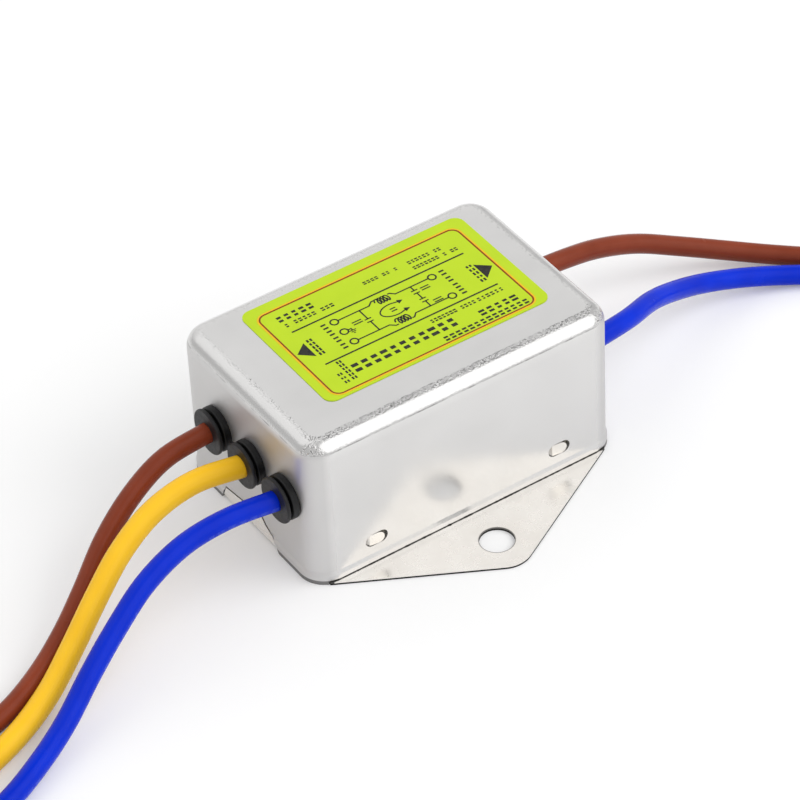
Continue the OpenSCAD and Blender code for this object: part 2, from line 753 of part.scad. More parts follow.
module choke_core() {
    color([0.25, 0.45, 0.3]) translate([choke_x, 0, core_z]) rotate_extrude()
        translate([ring_r, 0])
            rounded_rect(ring_w, core_h, core_r);
}

module choke_base() {
    color([0.12, 0.12, 0.12]) difference() {
        translate([choke_x, 0, top_z]) cylinder(h = choke_base_t, r = choke_base_r);
        for (foot = wind_ends)
            translate([foot[0], foot[1], top_z + choke_base_t / 2])
                cylinder(h = 2 * choke_base_t, r = wind_r + pin_fit, center = true);
    }
}

// A plate between the windings: it stands on the base, runs through the core and clips round it.
module choke_divider() {
    foot_z = top_z + choke_base_t;
    reach = core_outer_d / 2 + wind_gap + divider_t;
    height = core_z + core_h / 2 + wind_gap + divider_t - foot_z;
    color([0.93, 0.92, 0.88]) translate([choke_x, 0, foot_z]) difference() {
        translate([-reach, -divider_t / 2, 0]) cube([2 * reach, divider_t, height]);
        for (s = [-1, 1]) translate([s * ring_r, 0, core_z - foot_z])
            cube([ring_w + 2 * wind_gap, 2 * divider_t, core_h + 2 * wind_gap], center = true);
    }
}

// ---- capacitors and resistor ----
module pins(pitch, top) {
    for (s = [-1, 1]) translate([0, s * pitch / 2, pin_z]) cylinder(h = top - pin_z, d = pin_d);
}

module x_capacitor() {
    color([0.86, 0.8, 0.25]) translate([xcap_x, 0, 0]) {
        translate([0, 0, top_z]) rounded_slab(xcap_t, xcap_w, pin_d, xcap_h);
        pins(xcap_pitch, top_z + pin_d);
    }
}

module bleed_resistor() {
    axis_z = top_z + res_d / 2 + res_lift;
    color([0.75, 0.62, 0.42]) translate([res_x, 0, 0]) {
        translate([0, 0, axis_z]) rotate([90, 0, 0]) {
            cylinder(h = res_l, d = res_d - 2 * pin_fit, center = true);
            for (s = [-1, 1])
                translate([0, 0, s * (res_l - res_cap) / 2])
                    cylinder(h = res_cap, d = res_d, center = true);
            cylinder(h = res_pitch, d = pin_d, center = true);
        }
        for (s = [-1, 1]) translate([0, s * res_pitch / 2, axis_z]) sphere(d = pin_d);
        pins(res_pitch, axis_z);
    }
}

// A dipped disc on edge, with a full round rim.
module y_capacitor(side) {
    axis_z = top_z + ycap_d / 2 + ycap_lift;
    rim = ycap_d / 2 - ycap_t / 2;
    color([0.15, 0.4, 0.75]) translate([ycap_x, side * ycap_spacing / 2, 0]) {
        translate([0, 0, axis_z]) rotate([0, 90, 0]) rotate_extrude() {
            translate([0, -ycap_t / 2]) square([rim, ycap_t]);
            translate([rim, 0]) circle(d = ycap_t);
        }
        pins(ycap_pitch, axis_z);
    }
}

module y_capacitor_live() { y_capacitor(1); }
module y_capacitor_neutral() { y_capacitor(-1); }

// ---- leads ----
module lead(route, d, shade, side) {
    color(shade) tube(route, [for (p = route) [0, 0, 1]], d / 2, LEAD_SIDES, [side, 0, 0]);
}

module bare_end(route) {
    last = len(route) - 1;
    way = unit(route[last] - route[last - 1]);
    path = [route[last], route[last] + strip_l * way];
    color([0.85, 0.85, 0.85]) tube(path, [for (p = path) [0, 0, 1]], wire_d / 2, LEAD_SIDES, way);
}

module lead_line_live() { lead(ROUTE_LINE_LIVE, lead_d, BROWN, -1); }
module lead_line_earth() { lead(ROUTE_LINE_EARTH, earth_d, YELLOW, -1); }
module lead_line_neutral() { lead(ROUTE_LINE_NEUTRAL, lead_d, BLUE, -1); }
module lead_load_live() { lead(ROUTE_LOAD_LIVE, lead_d, BROWN, 1); }
module lead_load_neutral() { lead(ROUTE_LOAD_NEUTRAL, lead_d, BLUE, 1); }
module bare_line_live() { bare_end(ROUTE_LINE_LIVE); }
module bare_line_earth() { bare_end(ROUTE_LINE_EARTH); }
module bare_line_neutral() { bare_end(ROUTE_LINE_NEUTRAL); }
module bare_load_live() { bare_end(ROUTE_LOAD_LIVE); }
module bare_load_neutral() { bare_end(ROUTE_LOAD_NEUTRAL); }

case_shell();
base_plate();
label();
bush_line_live();
bush_line_earth();
bush_line_neutral();
bush_load_live();
bush_load_neutral();
tail_line_live();
tail_line_earth();
tail_line_neutral();
tail_load_live();
tail_load_neutral();
tray();
board();
choke_base();
choke_core();
winding_live();
winding_neutral();
choke_divider();
x_capacitor();
bleed_resistor();
y_capacitor_live();
y_capacitor_neutral();
earth_strap();
solder();
top_sheet();
lead_line_live();
lead_line_earth();
lead_line_neutral();
lead_load_live();
lead_load_neutral();
bare_line_live();
bare_line_earth();
bare_line_neutral();
bare_load_live();
bare_load_neutral();
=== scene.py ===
# %% [markdown]
# # A small mains filter with flying leads
#
# A mains filter keeps the noise of a machine out of the mains, and the noise of the mains
# out of the machine. This one is a drawn steel can, nickel plated, closed by a thin base
# plate with two ears for screws. Three leads leave the line end (brown, yellow and blue)
# and two leave the load end (brown and blue), each through a black bushing.
#
# The solids come from the CAD model as a fixed frame. This script adds the camera, the
# light, the leads as they really lie, the print on the label, and a finish for every piece.
# Lengths are typed in millimetres, and one function turns them to metres.

# %% Load the frame
import math

import bpy
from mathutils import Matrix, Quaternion, Vector


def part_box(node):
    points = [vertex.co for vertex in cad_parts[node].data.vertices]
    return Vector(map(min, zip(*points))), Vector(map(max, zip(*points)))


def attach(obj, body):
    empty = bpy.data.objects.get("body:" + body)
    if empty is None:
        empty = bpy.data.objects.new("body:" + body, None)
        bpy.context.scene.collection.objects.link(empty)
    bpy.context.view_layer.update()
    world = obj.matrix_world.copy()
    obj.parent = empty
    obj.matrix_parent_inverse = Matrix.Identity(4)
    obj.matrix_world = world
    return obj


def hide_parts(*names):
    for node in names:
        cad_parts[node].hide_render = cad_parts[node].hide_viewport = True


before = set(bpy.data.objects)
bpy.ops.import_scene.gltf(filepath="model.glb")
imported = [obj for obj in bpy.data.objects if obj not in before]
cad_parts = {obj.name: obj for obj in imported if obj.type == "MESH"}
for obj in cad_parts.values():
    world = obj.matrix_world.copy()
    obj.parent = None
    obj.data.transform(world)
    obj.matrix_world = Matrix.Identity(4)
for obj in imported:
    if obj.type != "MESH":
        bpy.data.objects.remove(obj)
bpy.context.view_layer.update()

# %% [markdown]
# ## Small helpers
#
# Blender counts in metres, and this object is a few centimetres long, so millimetres are
# easier to read. Colours are written as the sRGB hex values that a paint program shows,
# while shaders work on linear values, so one function converts them.
#
# Every node tree in this lesson, for a finish or for a shape, is built with the one `add`
# function. It makes a node, makes its settings, and fills each named input with a number,
# or with a link from another node. Where it is given a whole node, it takes that node's
# first output. Several nodes keep unused inputs of the same name for other data types, so
# it looks only among the ones that are switched on.


# %% Units, colours and nodes
def mm(value):
    return value * 0.001


def spot(x, y, z):
    return Vector((x, y, z)) * 0.001


def per_mm(size):
    """Scale of a texture whose features are that many millimetres wide."""
    return 1000 / size


def linear(hex_code):
    steps = [int(hex_code[i : i + 2], 16) / 255 for i in (1, 3, 5)]
    return (*[s / 12.92 if s <= 0.04045 else ((s + 0.055) / 1.055) ** 2.4 for s in steps], 1.0)


def add(tree, kind, inputs=None, **settings):
    node = tree.nodes.new(kind)
    for name, value in settings.items():
        setattr(node, name, value)
    for key, value in (inputs or {}).items():
        if isinstance(key, int):
            socket = node.inputs[key]
        else:
            socket = next(s for s in node.inputs if s.enabled and s.name == key)
        if isinstance(value, bpy.types.Node):
            value = next(s for s in value.outputs if s.enabled)
        if isinstance(value, bpy.types.NodeSocket):
            tree.links.new(value, socket)
        else:
            socket.default_value = value
    return node


print("a millimetre is", mm(1), "m, and mid grey is", round(linear("#bcbcbc")[0], 3))

# %% [markdown]
# ## The camera
#
# The camera stands off the corner between the line end and the near long side, and looks
# down at about 41 degrees. A long lens of 180 mm flattens the perspective, as in product
# pictures. The aim point lies inside the can, a little below its middle, and a small roll
# tips the picture by three degrees.

# %% Camera
CAMERA_AZIMUTH = math.radians(-32.04)
CAMERA_ELEVATION = math.radians(41.17)
CAMERA_ROLL = math.radians(-3.11)
CAMERA_DISTANCE = mm(555.8)
CAMERA_AIM = spot(-1.06, -1.86, 11.55)
FOCAL_LENGTH = 180.04
FILM_WIDTH = 36


def make_camera():
    back = Vector((
        math.sin(CAMERA_AZIMUTH) * math.cos(CAMERA_ELEVATION),
        -math.cos(CAMERA_AZIMUTH) * math.cos(CAMERA_ELEVATION),
        math.sin(CAMERA_ELEVATION),
    ))
    lens = bpy.data.cameras.new("camera")
    lens.lens = FOCAL_LENGTH
    lens.sensor_width = FILM_WIDTH
    lens.clip_start = mm(10)
    camera = bpy.data.objects.new("camera", lens)
    camera.location = CAMERA_AIM + back * CAMERA_DISTANCE
    turn = (-back).to_track_quat("-Z", "Y") @ Quaternion((0, 0, 1), CAMERA_ROLL)
    camera.rotation_euler = turn.to_euler()
    bpy.context.scene.collection.objects.link(camera)
    bpy.context.scene.camera = camera
    return camera


camera = make_camera()
print("camera at", [round(v, 4) for v in camera.location])

# %% [markdown]
# ## Finishes: a common start
#
# Each finish is one Principled shader, whose colour, roughness and relief come from nodes.
# Painted image textures could give the same, but they need UV maps and turn soft close up.
# A noise whose patches are given in millimetres is as large as the real grain and stays
# sharp. Relief is drawn by Bump nodes: the height is a grey value, and the distance says
# how deep a full step from black to white is.
#
# `cloud` is the pattern that most finishes share, a soft noise stretched between two
# values. `mottle` blends two close shades with it, and `grain` raises bumps with it. The
# parts that need no more than that get `plain_finish`.


# %% Helpers for finishes
METAL = {"Metallic": 1.0}
PLASTIC_IOR = 1.53  # PVC and nylon alike


def new_finish(name):
    material = bpy.data.materials.new(name)
    material.use_nodes = True
    tree = material.node_tree
    tree.nodes.clear()
    return material, tree, add(tree, "ShaderNodeTexCoord").outputs["Object"]


def cloud(tree, where, size, low, high, detail=2.0):
    """Noise with patches of that many millimetres, from low to high."""
    noise = add(tree, "ShaderNodeTexNoise", {
        "Vector": where, "Scale": per_mm(size), "Detail": detail,
    })
    # Raw noise seldom leaves the middle half of its range, so that half is stretched.
    return add(tree, "ShaderNodeMapRange", {
        "Value": noise, "From Min": 0.25, "From Max": 0.75, "To Min": low, "To Max": high,
    })


def mottle(tree, where, size, light, dark, detail=2.0, most=1):
    """Two close shades in soft patches of that many millimetres."""
    return add(tree, "ShaderNodeMix", {
        "Factor": cloud(tree, where, size, 0, most, detail),
        "A": linear(light), "B": linear(dark),
    }, data_type="RGBA")


def grain(tree, where, size, depth, detail=2.0, **under):
    """Soft bumps that many millimetres wide and deep, on top of any other relief."""
    return add(tree, "ShaderNodeBump", {
        "Height": cloud(tree, where, size, 0, 1, detail), "Distance": mm(depth), **under,
    })


def plain_finish(name, light, dark, patch, bumps, gloss, sockets, most=1):
    """Two shades in patches of a size, bumps of a size and depth, and an uneven gloss.

    Gloss is a size in millimetres with the least and the most roughness.
    """
    finish, tree, where = new_finish(name)
    shader = add(tree, "ShaderNodeBsdfPrincipled", {
        "Base Color": mottle(tree, where, patch, light, dark, most=most),
        "Normal": grain(tree, where, *bumps),
        "Roughness": cloud(tree, where, *gloss),
        **sockets,
    })
    add(tree, "ShaderNodeOutputMaterial", {"Surface": shader})
    return finish


def dress(finish, *nodes):
    """Gives CAD nodes a finish."""
    for name in nodes:
        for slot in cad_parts[name].material_slots:
            slot.material = finish
    print(finish.name, "on", ", ".join(nodes))


print("a grain of 0.25 mm is a noise of scale", per_mm(0.25))

# %% [markdown]
# ## The leads' insulation
#
# Equipment wire is tinned strands in extruded PVC. PVC leaves the die with a smooth satin
# skin: its gloss is broad, and very fine lines run along it. A batch code is often inked
# on it in small pale marks, and plain dashes stand for them here.
#
# A noise in space could draw the lines on a straight lead, but not on one that bends. So
# the tubes carry two values of their own, the distance along the lead and the direction
# round it, and the pattern reads those instead: it follows every bend.


# %% Extruded PVC
LINES = 9.0  # lines to each radius of the way round, which is one every 0.17 mm
DRAWN_OUT = 8.0  # the pattern's steps in a metre along the lead: round it there are 670
INK_GROUP = (26.0, 11.0)  # the code comes every 26 mm, and is 11 mm long
INK_DASH = (1.7, 1.1)  # in it, a dash of 1.1 mm comes every 1.7 mm
INK_BAND = {1: 0.3, 2: 0.32}  # the middle and half width of the band with the code


def inked_dashes(tree, where, along, sides):
    """Where a lead carries ink: groups of dashes in a band on one side."""
    inside = [
        add(tree, "ShaderNodeMath", {0: sides["Y"], **INK_BAND}, operation="COMPARE"),
        add(tree, "ShaderNodeMath", {0: sides["X"], 1: 0.0}, operation="LESS_THAN"),
    ]
    for pitch, length in (INK_GROUP, INK_DASH):
        beat = add(tree, "ShaderNodeMath", {0: along, 1: mm(pitch)}, operation="MODULO")
        inside.append(add(tree, "ShaderNodeMath", {
            0: beat, 1: mm(length),
        }, operation="LESS_THAN"))
    printed = cloud(tree, where, 0.4, 0.05, 0.4)
    for limit in inside:
        printed = add(tree, "ShaderNodeMath", {0: printed, 1: limit}, operation="MULTIPLY")
    return printed


def extruded_pvc(name, skin, shade, ink=None):
    # Extruded PVC: a strong even colour under a satin gloss that runs along the lead.
    finish, tree, where = new_finish(name)
    along = add(tree, "ShaderNodeAttribute", attribute_name="along").outputs["Fac"]
    around = add(tree, "ShaderNodeAttribute", attribute_name="around").outputs["Vector"]
    sides = add(tree, "ShaderNodeSeparateXYZ", {"Vector": around}).outputs
    colour = mottle(tree, where, 6.0, skin, shade)
    if ink:
        colour = add(tree, "ShaderNodeMix", {
            "Factor": inked_dashes(tree, where, along, sides), "A": colour, "B": linear(ink),
        }, data_type="RGBA")
    # The direction round the lead sets the lines, and the distance along it barely moves
    # them, so they are drawn out eighty times longer than they are wide.
    drift = add(tree, "ShaderNodeMath", {0: along, 1: DRAWN_OUT}, operation="MULTIPLY")
    drawn = add(tree, "ShaderNodeCombineXYZ", {
        "X": sides["X"], "Y": sides["Y"], "Z": drift,
    })
    lines = add(tree, "ShaderNodeTexNoise", {"Vector": drawn, "Scale": LINES, "Detail": 1.0})
    die_lines = add(tree, "ShaderNodeBump", {"Height": lines, "Distance": mm(0.02)})
    shader = add(tree, "ShaderNodeBsdfPrincipled", {
        "Base Color": colour, "Normal": grain(tree, where, 0.6, 0.008, Normal=die_lines),
        "Roughness": cloud(tree, where, 2.5, 0.2, 0.28),
        "IOR": PLASTIC_IOR, "Specular IOR Level": 0.12,
    })
    add(tree, "ShaderNodeOutputMaterial", {"Surface": shader})
    return finish


pvc = {
    "brown": extruded_pvc("pvc_brown", "#8d412b", "#7d3621"),
    "yellow": extruded_pvc("pvc_yellow", "#ffcb30", "#fdc426"),
    "blue": extruded_pvc("pvc_blue", "#0030d2", "#0028c0", ink="#4a68dc"),
}
print("insulation:", [m.name for m in pvc.values()])

# %% [markdown]
# ## A way to grow a piece from a node tree
#
# Geometry Nodes suit anything that repeats or follows a path: a change of one number
# makes the whole piece again, which a mesh made by hand can't do. A tree is laid on a plain
# path of points as a modifier, its named inputs are filled, and the result is turned into
# an ordinary mesh. The modifier keeps its inputs under identifiers, not under their names,
# so the helper looks each one up.


# %% Helpers for grown pieces
def new_tree(name, **inputs):
    tree = bpy.data.node_groups.new(name, "GeometryNodeTree")
    tree.interface.new_socket("Path", in_out="INPUT", socket_type="NodeSocketGeometry")
    for label, kind in inputs.items():
        tree.interface.new_socket(label, in_out="INPUT", socket_type="NodeSocket" + kind)
    tree.interface.new_socket("Piece", in_out="OUTPUT", socket_type="NodeSocketGeometry")
    return tree, add(tree, "NodeGroupInput").outputs


def end_tree(tree, geometry, finish):
    whole = add(tree, "GeometryNodeRealizeInstances", {"Geometry": geometry})
    dressed = add(tree, "GeometryNodeSetMaterial", {"Geometry": whole, "Material": finish})
    add(tree, "NodeGroupOutput", {"Piece": dressed})


def grow(name, tree, path, **inputs):
    mesh = bpy.data.meshes.new(name + "_path")
    mesh.from_pydata(path, [(i, i + 1) for i in range(len(path) - 1)], [])
    source = bpy.data.objects.new(name + "_path", mesh)
    bpy.context.scene.collection.objects.link(source)
    modifier = source.modifiers.new("nodes", "NODES")
    modifier.node_group = tree
    for socket in tree.interface.items_tree:
        if socket.name in inputs:
            modifier[socket.identifier] = inputs[socket.name]
    shown = source.evaluated_get(bpy.context.evaluated_depsgraph_get())
    result = bpy.data.meshes.new_from_object(shown)
    bpy.data.objects.remove(source)
    result.name = name
    piece = bpy.data.objects.new(name, result)
    bpy.context.scene.collection.objects.link(piece)
    return piece


print("pieces can now be grown on a path")

# %% [markdown]
# ## The leads
#
# A lead is straight for its first millimetres, because the bushing holds it square to the
# wall. Then it droops to the bench and lies on it in a loose curve, with its insulation
# resting on the surface. The routes are the centre lines that the solid model uses too.
#
# A bevelled curve object could show such a tube, but its skin would carry no measure of
# its own. The tree turns the points into a Catmull-Rom spline, which passes through every
# point, spaces new points evenly along it, and sweeps a ring of 20 corners along the
# result. Two attributes are stored on the way, `along` on the path and `around` on the
# ring, and the sweep hands both to the tube for the insulation's pattern.

# %% Routes of the leads
ROUTES = {
    "line_live": [
        (-27.3, 6.6, 13.4), (-34.5, 6, 13), (-41, 4.1, 11.3), (-47.5, 1, 8.8),
        (-53.5, -3, 6), (-59, -6.6, 3.9), (-65, -10, 2.4), (-71.5, -13, 1.8),
        (-78.5, -14.7, 1.6), (-86, -15, 1.5), (-93.5, -14, 1.5), (-100.5, -11.5, 1.5),
        (-107, -8, 1.5), (-113, -3.5, 1.5), (-118, 2, 1.5), (-122, 8, 1.5),
    ],
    "line_earth": [
        (-27.3, -2, 13.4), (-34.5, -1.6, 14.1), (-41.5, -2.3, 13.1), (-48, -4.5, 11.1),
        (-54, -7.5, 8.2), (-60, -10.9, 5.2), (-66, -14.4, 3), (-72.5, -17.5, 1.85),
        (-79.5, -20.1, 1.7), (-87, -21.5, 1.65), (-94.5, -21.5, 1.65), (-102, -20, 1.65),
        (-109, -17, 1.65), (-115.5, -13, 1.65), (-121, -8, 1.65), (-125.5, -2, 1.65),
    ],
    "line_neutral": [
        (-27.3, -10.6, 13.4), (-34.5, -10.1, 13.7), (-41.5, -10.2, 12.9), (-48.5, -11.8, 11.2),
        (-55, -14.4, 8.5), (-61, -17.3, 5.8), (-67, -20.7, 3.3), (-73, -23.9, 2.1),
        (-79.5, -27, 1.7), (-86.5, -29, 1.5), (-94, -30, 1.5), (-101.5, -29.5, 1.5),
        (-109, -27.5, 1.5), (-116, -24.5, 1.5), (-122.5, -20.5, 1.5), (-128, -15.5, 1.5),
    ],
    "load_live": [
        (25.95, 8.2, 13.4), (34.5, 8.9, 12.2), (41.5, 9.9, 10.2), (48.5, 9.9, 7.7),
        (55, 8.3, 5.1), (61.5, 5.6, 2.9), (67.5, 1.5, 1.8), (73, -2.9, 1.5),
        (79, -6.7, 1.5), (85.5, -9.6, 1.5), (92.5, -11.5, 1.5), (100, -12, 1.5),
        (107.5, -11, 1.5), (114.5, -8.5, 1.5), (121, -5, 1.5), (127, -0.5, 1.5),
    ],
    "load_neutral": [
        (25.95, -9.5, 13.4), (34, -7.5, 12.3), (40.5, -4.4, 10.3), (46.5, -2.1, 7.7),
        (53, -0.7, 5), (60, -1.2, 2.9), (66.5, -3.7, 1.8), (72.5, -7.6, 1.5),
        (78.5, -12, 1.5), (85, -15.5, 1.5), (92, -18, 1.5), (99.5, -19.5, 1.5),
        (107, -19.5, 1.5), (114.5, -18, 1.5), (121.5, -15, 1.5), (128, -11, 1.5),
    ],
}
COLOURS = {"live": "brown", "earth": "yellow", "neutral": "blue"}
DIAMETERS = {"brown": 3.0, "yellow": 3.3, "blue": 3.0}
RING = 20  # corners round a lead
print(len(ROUTES), "routes")


# %% The tree for a lead's insulation
def insulation_tree():
    tree, given = new_tree("insulation", Diameter="Float", Step="Float", Finish="Material")
    path = add(tree, "GeometryNodeMeshToCurve", {"Mesh": given["Path"]})
    smooth = add(tree, "GeometryNodeCurveSplineType", {
        "Curve": path,
    }, spline_type="CATMULL_ROM")
    even = add(tree, "GeometryNodeResampleCurve", {
        "Curve": smooth, "Length": given["Step"],
    }, mode="LENGTH")
    reach = add(tree, "GeometryNodeSplineParameter").outputs["Length"]
    measured = add(tree, "GeometryNodeStoreNamedAttribute", {
        "Geometry": even, "Name": "along", "Value": reach,
    }, data_type="FLOAT", domain="POINT")
    radius = add(tree, "ShaderNodeMath", {0: given["Diameter"], 1: 0.5}, operation="MULTIPLY")
    ring = add(tree, "GeometryNodeCurvePrimitiveCircle", {"Resolution": RING, "Radius": radius})
    outward = add(tree, "ShaderNodeVectorMath", {
        0: add(tree, "GeometryNodeInputPosition"),
    }, operation="NORMALIZE")
    marked = add(tree, "GeometryNodeStoreNamedAttribute", {
        "Geometry": ring, "Name": "around", "Value": outward,
    }, data_type="FLOAT_VECTOR", domain="POINT")
    tube = add(tree, "GeometryNodeCurveToMesh", {
        "Curve": measured, "Profile Curve": marked, "Fill Caps": True,
    })
    round_tube = add(tree, "GeometryNodeSetShadeSmooth", {"Geometry": tube})
    end_tree(tree, round_tube, given["Finish"])
    return tree


insulation = insulation_tree()
print("insulation tree:", len(insulation.nodes), "nodes")

# %% [markdown]
# ## The stripped ends
#
# The last 8 mm of each lead are bare, for a terminal: six tinned strands twisted round a
# seventh. A ribbed cylinder with a striped relief could stand for them, but its end would
# give it away. So the tree copies the straight path six times, moves each copy out from
# the middle in its own direction, and turns that direction as it goes along, which makes
# the twist. The middle strand is the path itself, and all seven get the same round section.


# %% The tree for the strands
STRAND_POINTS = 40  # along each strand
STRAND_RING = 10  # corners round it


def strand_tree():
    tree, given = new_tree(
        "strands", Strands="Int", Thickness="Float", Turn="Float", Finish="Material"
    )
    path = add(tree, "GeometryNodeMeshToCurve", {"Mesh": given["Path"]})
    even = add(tree, "GeometryNodeResampleCurve", {
        "Curve": path, "Count": STRAND_POINTS,
    }, mode="COUNT")
    copies = add(tree, "GeometryNodeDuplicateElements", {
        "Geometry": even, "Amount": given["Strands"],
    }, domain="SPLINE")
    share = add(tree, "ShaderNodeMath", {
        0: 2 * math.pi, 1: given["Strands"],
    }, operation="DIVIDE")
    start = add(tree, "ShaderNodeMath", {
        0: copies.outputs["Duplicate Index"], 1: share,
    }, operation="MULTIPLY")
    reach = add(tree, "GeometryNodeSplineParameter").outputs["Length"]
    angle = add(tree, "ShaderNodeMath", {
        0: reach, 1: given["Turn"], 2: start,
    }, operation="MULTIPLY_ADD")
    outward = add(tree, "ShaderNodeVectorRotate", {
        "Vector": add(tree, "GeometryNodeInputNormal"),
        "Axis": add(tree, "GeometryNodeInputTangent"), "Angle": angle,
    }, rotation_type="AXIS_ANGLE")
    shift = add(tree, "ShaderNodeVectorMath", {
        0: outward, "Scale": given["Thickness"],
    }, operation="SCALE")
    laid = add(tree, "GeometryNodeSetPosition", {"Geometry": copies, "Offset": shift})
    bundle = add(tree, "GeometryNodeJoinGeometry")
    for strands in (laid, even):
        tree.links.new(strands.outputs[0], bundle.inputs[0])
    radius = add(tree, "ShaderNodeMath", {0: given["Thickness"], 1: 0.5}, operation="MULTIPLY")
    ring = add(tree, "GeometryNodeCurvePrimitiveCircle", {
        "Resolution": STRAND_RING, "Radius": radius,
    })
    wires = add(tree, "GeometryNodeCurveToMesh", {
        "Curve": bundle, "Profile Curve": ring, "Fill Caps": True,
    })
    round_wires = add(tree, "GeometryNodeSetShadeSmooth", {"Geometry": wires})
    end_tree(tree, round_wires, given["Finish"])
    return tree


twist = strand_tree()
print("strand tree:", len(twist.nodes), "nodes")

# %% [markdown]
# Each lead is the insulated part and the stripped end together. The path that goes with it
# is the middle of each ring of the tube.

# %% Make the leads
STEP = 1.0  # between two rings of corners
STRIPPED = 8.0
STRANDS, STRAND = 6, 0.4  # round the middle one, and the thickness of each
OVERLAP = 0.5  # how far the strands reach back into the insulation
TURN = 700.0  # radians in a metre, so the strands turn once in 9 mm
# Tin over fine copper strands: small, soft, silvery glints.
tinned = plain_finish(
    "tinned_copper", "#e2e1de", "#cdcbc6", 0.7, (0.15, 0.01), (0.5, 0.22, 0.38), METAL
)


def make_lead(name, route):
    colour = COLOURS[name.split("_")[1]]
    diameter = mm(DIAMETERS[colour])
    points = [spot(*p) for p in route]
    lead = grow(name, insulation, points, Diameter=diameter, Step=mm(STEP), Finish=pvc[colour])
    way = (points[-1] - points[-2]).normalized()
    end = [points[-1] - way * mm(OVERLAP), points[-1] + way * mm(STRIPPED)]
    bare = grow(
        name + "_end", twist, end, Strands=STRANDS, Thickness=mm(STRAND), Turn=TURN,
        Finish=tinned,
    )
    for piece, node, slot in ((lead, "lead_", "pvc_" + colour), (bare, "bare_", "tinned_copper")):
        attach(piece, "root")
        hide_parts(node + name)


for name, route in ROUTES.items():
    make_lead(name, route)

# %% [markdown]
# ## Nickel plate on the can
#
# The can is deep drawn from steel sheet and then plated with bright nickel. The flat faces
# stay smooth, because the punch holds them flat, while the metal that stretched over the
# punch's edge comes out with a fine grain, known as orange peel. It is coarsest where the
# top turns down and at the corners. Low on the bend runs a thin, broken dark line. The end
# walls are duller on this can, perhaps from the work on the bushings' holes, and their
# colour is painted a little darker, a painted shade for the dimmer reflection they show.
# The rim is painted dark, a painted contact shadow where the can meets the plate.
#
# Each zone could be painted on by hand, but then it would have to be painted again after
# any change to the can. Here the finish finds its zones by itself, by how far the surface
# leans: on the top the upward part of the normal is 1, on a wall it is 0. The grain is
# drawn at 0.28 mm, a little coarser than the real one, which would be too fine to show.


# %% The zones of the can
# Each zone is a range of a measure: where it begins, is full, is full no more, and ends.
# The measure is the upward part of the normal, and for CORNER the lesser of its two
# sideways parts, which only a corner lifts above 0.
BEND = (0.3, 0.5, 0.998, 0.9999)
SHOULDER = (0.92, 0.96, 0.998, 0.9999)
# The next range marks a thin, broken dark line low on the bend.
LOW_BEND_LINE = (0.36, 0.39, 0.41, 0.44)
CORNER = (0.22, 0.34, 2.0, 3.0)
LOWEST_BEND = 15.0  # the rim leans too, but it lies below this height


def drawn_zones(tree, sides, height):
    """The bend round the top, the part of it that stretched, and a thin dark line low on it."""
    high = add(tree, "ShaderNodeMath", {
        0: height, 1: mm(LOWEST_BEND),
    }, operation="GREATER_THAN")

    def between(measure, begins, full, still_full, ends):
        rise = add(tree, "ShaderNodeMapRange", {
            "Value": measure, "From Min": begins, "From Max": full,
        })
        fall = add(tree, "ShaderNodeMapRange", {
            "Value": measure, "From Min": ends, "From Max": still_full,
        })
        both = add(tree, "ShaderNodeMath", {0: rise, 1: fall}, operation="MULTIPLY")
        return add(tree, "ShaderNodeMath", {0: both, 1: high}, operation="MULTIPLY")

    bend = between(sides["Z"], *BEND)
    least = add(tree, "ShaderNodeMath", {0: sides["X"], 1: sides["Y"]}, operation="MINIMUM")
    corner = add(tree, "ShaderNodeMath", {
        0: between(least, *CORNER), 1: bend,
    }, operation="MULTIPLY")
    stretched = add(tree, "ShaderNodeMath", {
        0: between(sides["Z"], *SHOULDER), 1: corner,
    }, operation="MAXIMUM")
    return bend, stretched, between(sides["Z"], *LOW_BEND_LINE)


print("zones: bend", BEND, "shoulder", SHOULDER, "low bend line", LOW_BEND_LINE, "corner", CORNER)


# %% Bright nickel on drawn steel
PEEL, PEEL_DEPTH = 0.28, 0.1
# Below these heights the rim is painted dark, a painted contact shadow where the can meets the
# plate.
RIM_SHADE_STARTS, RIM_SHADE_FULL = 0.72, 0.62  # heights on the can, whose rim is dark below them
# Roughness where it sparkles, on the bend, on the bend over an end wall, and on that wall.
SPARKLING, POLISHED, RUBBED, DULL = 0.06, 0.12, 0.22, 0.5
# The end walls are painted darker by this share, a painted shade for the dimmer reflection they
# show.
END_WALL_SHADE = 0.1  # how far the end walls darken


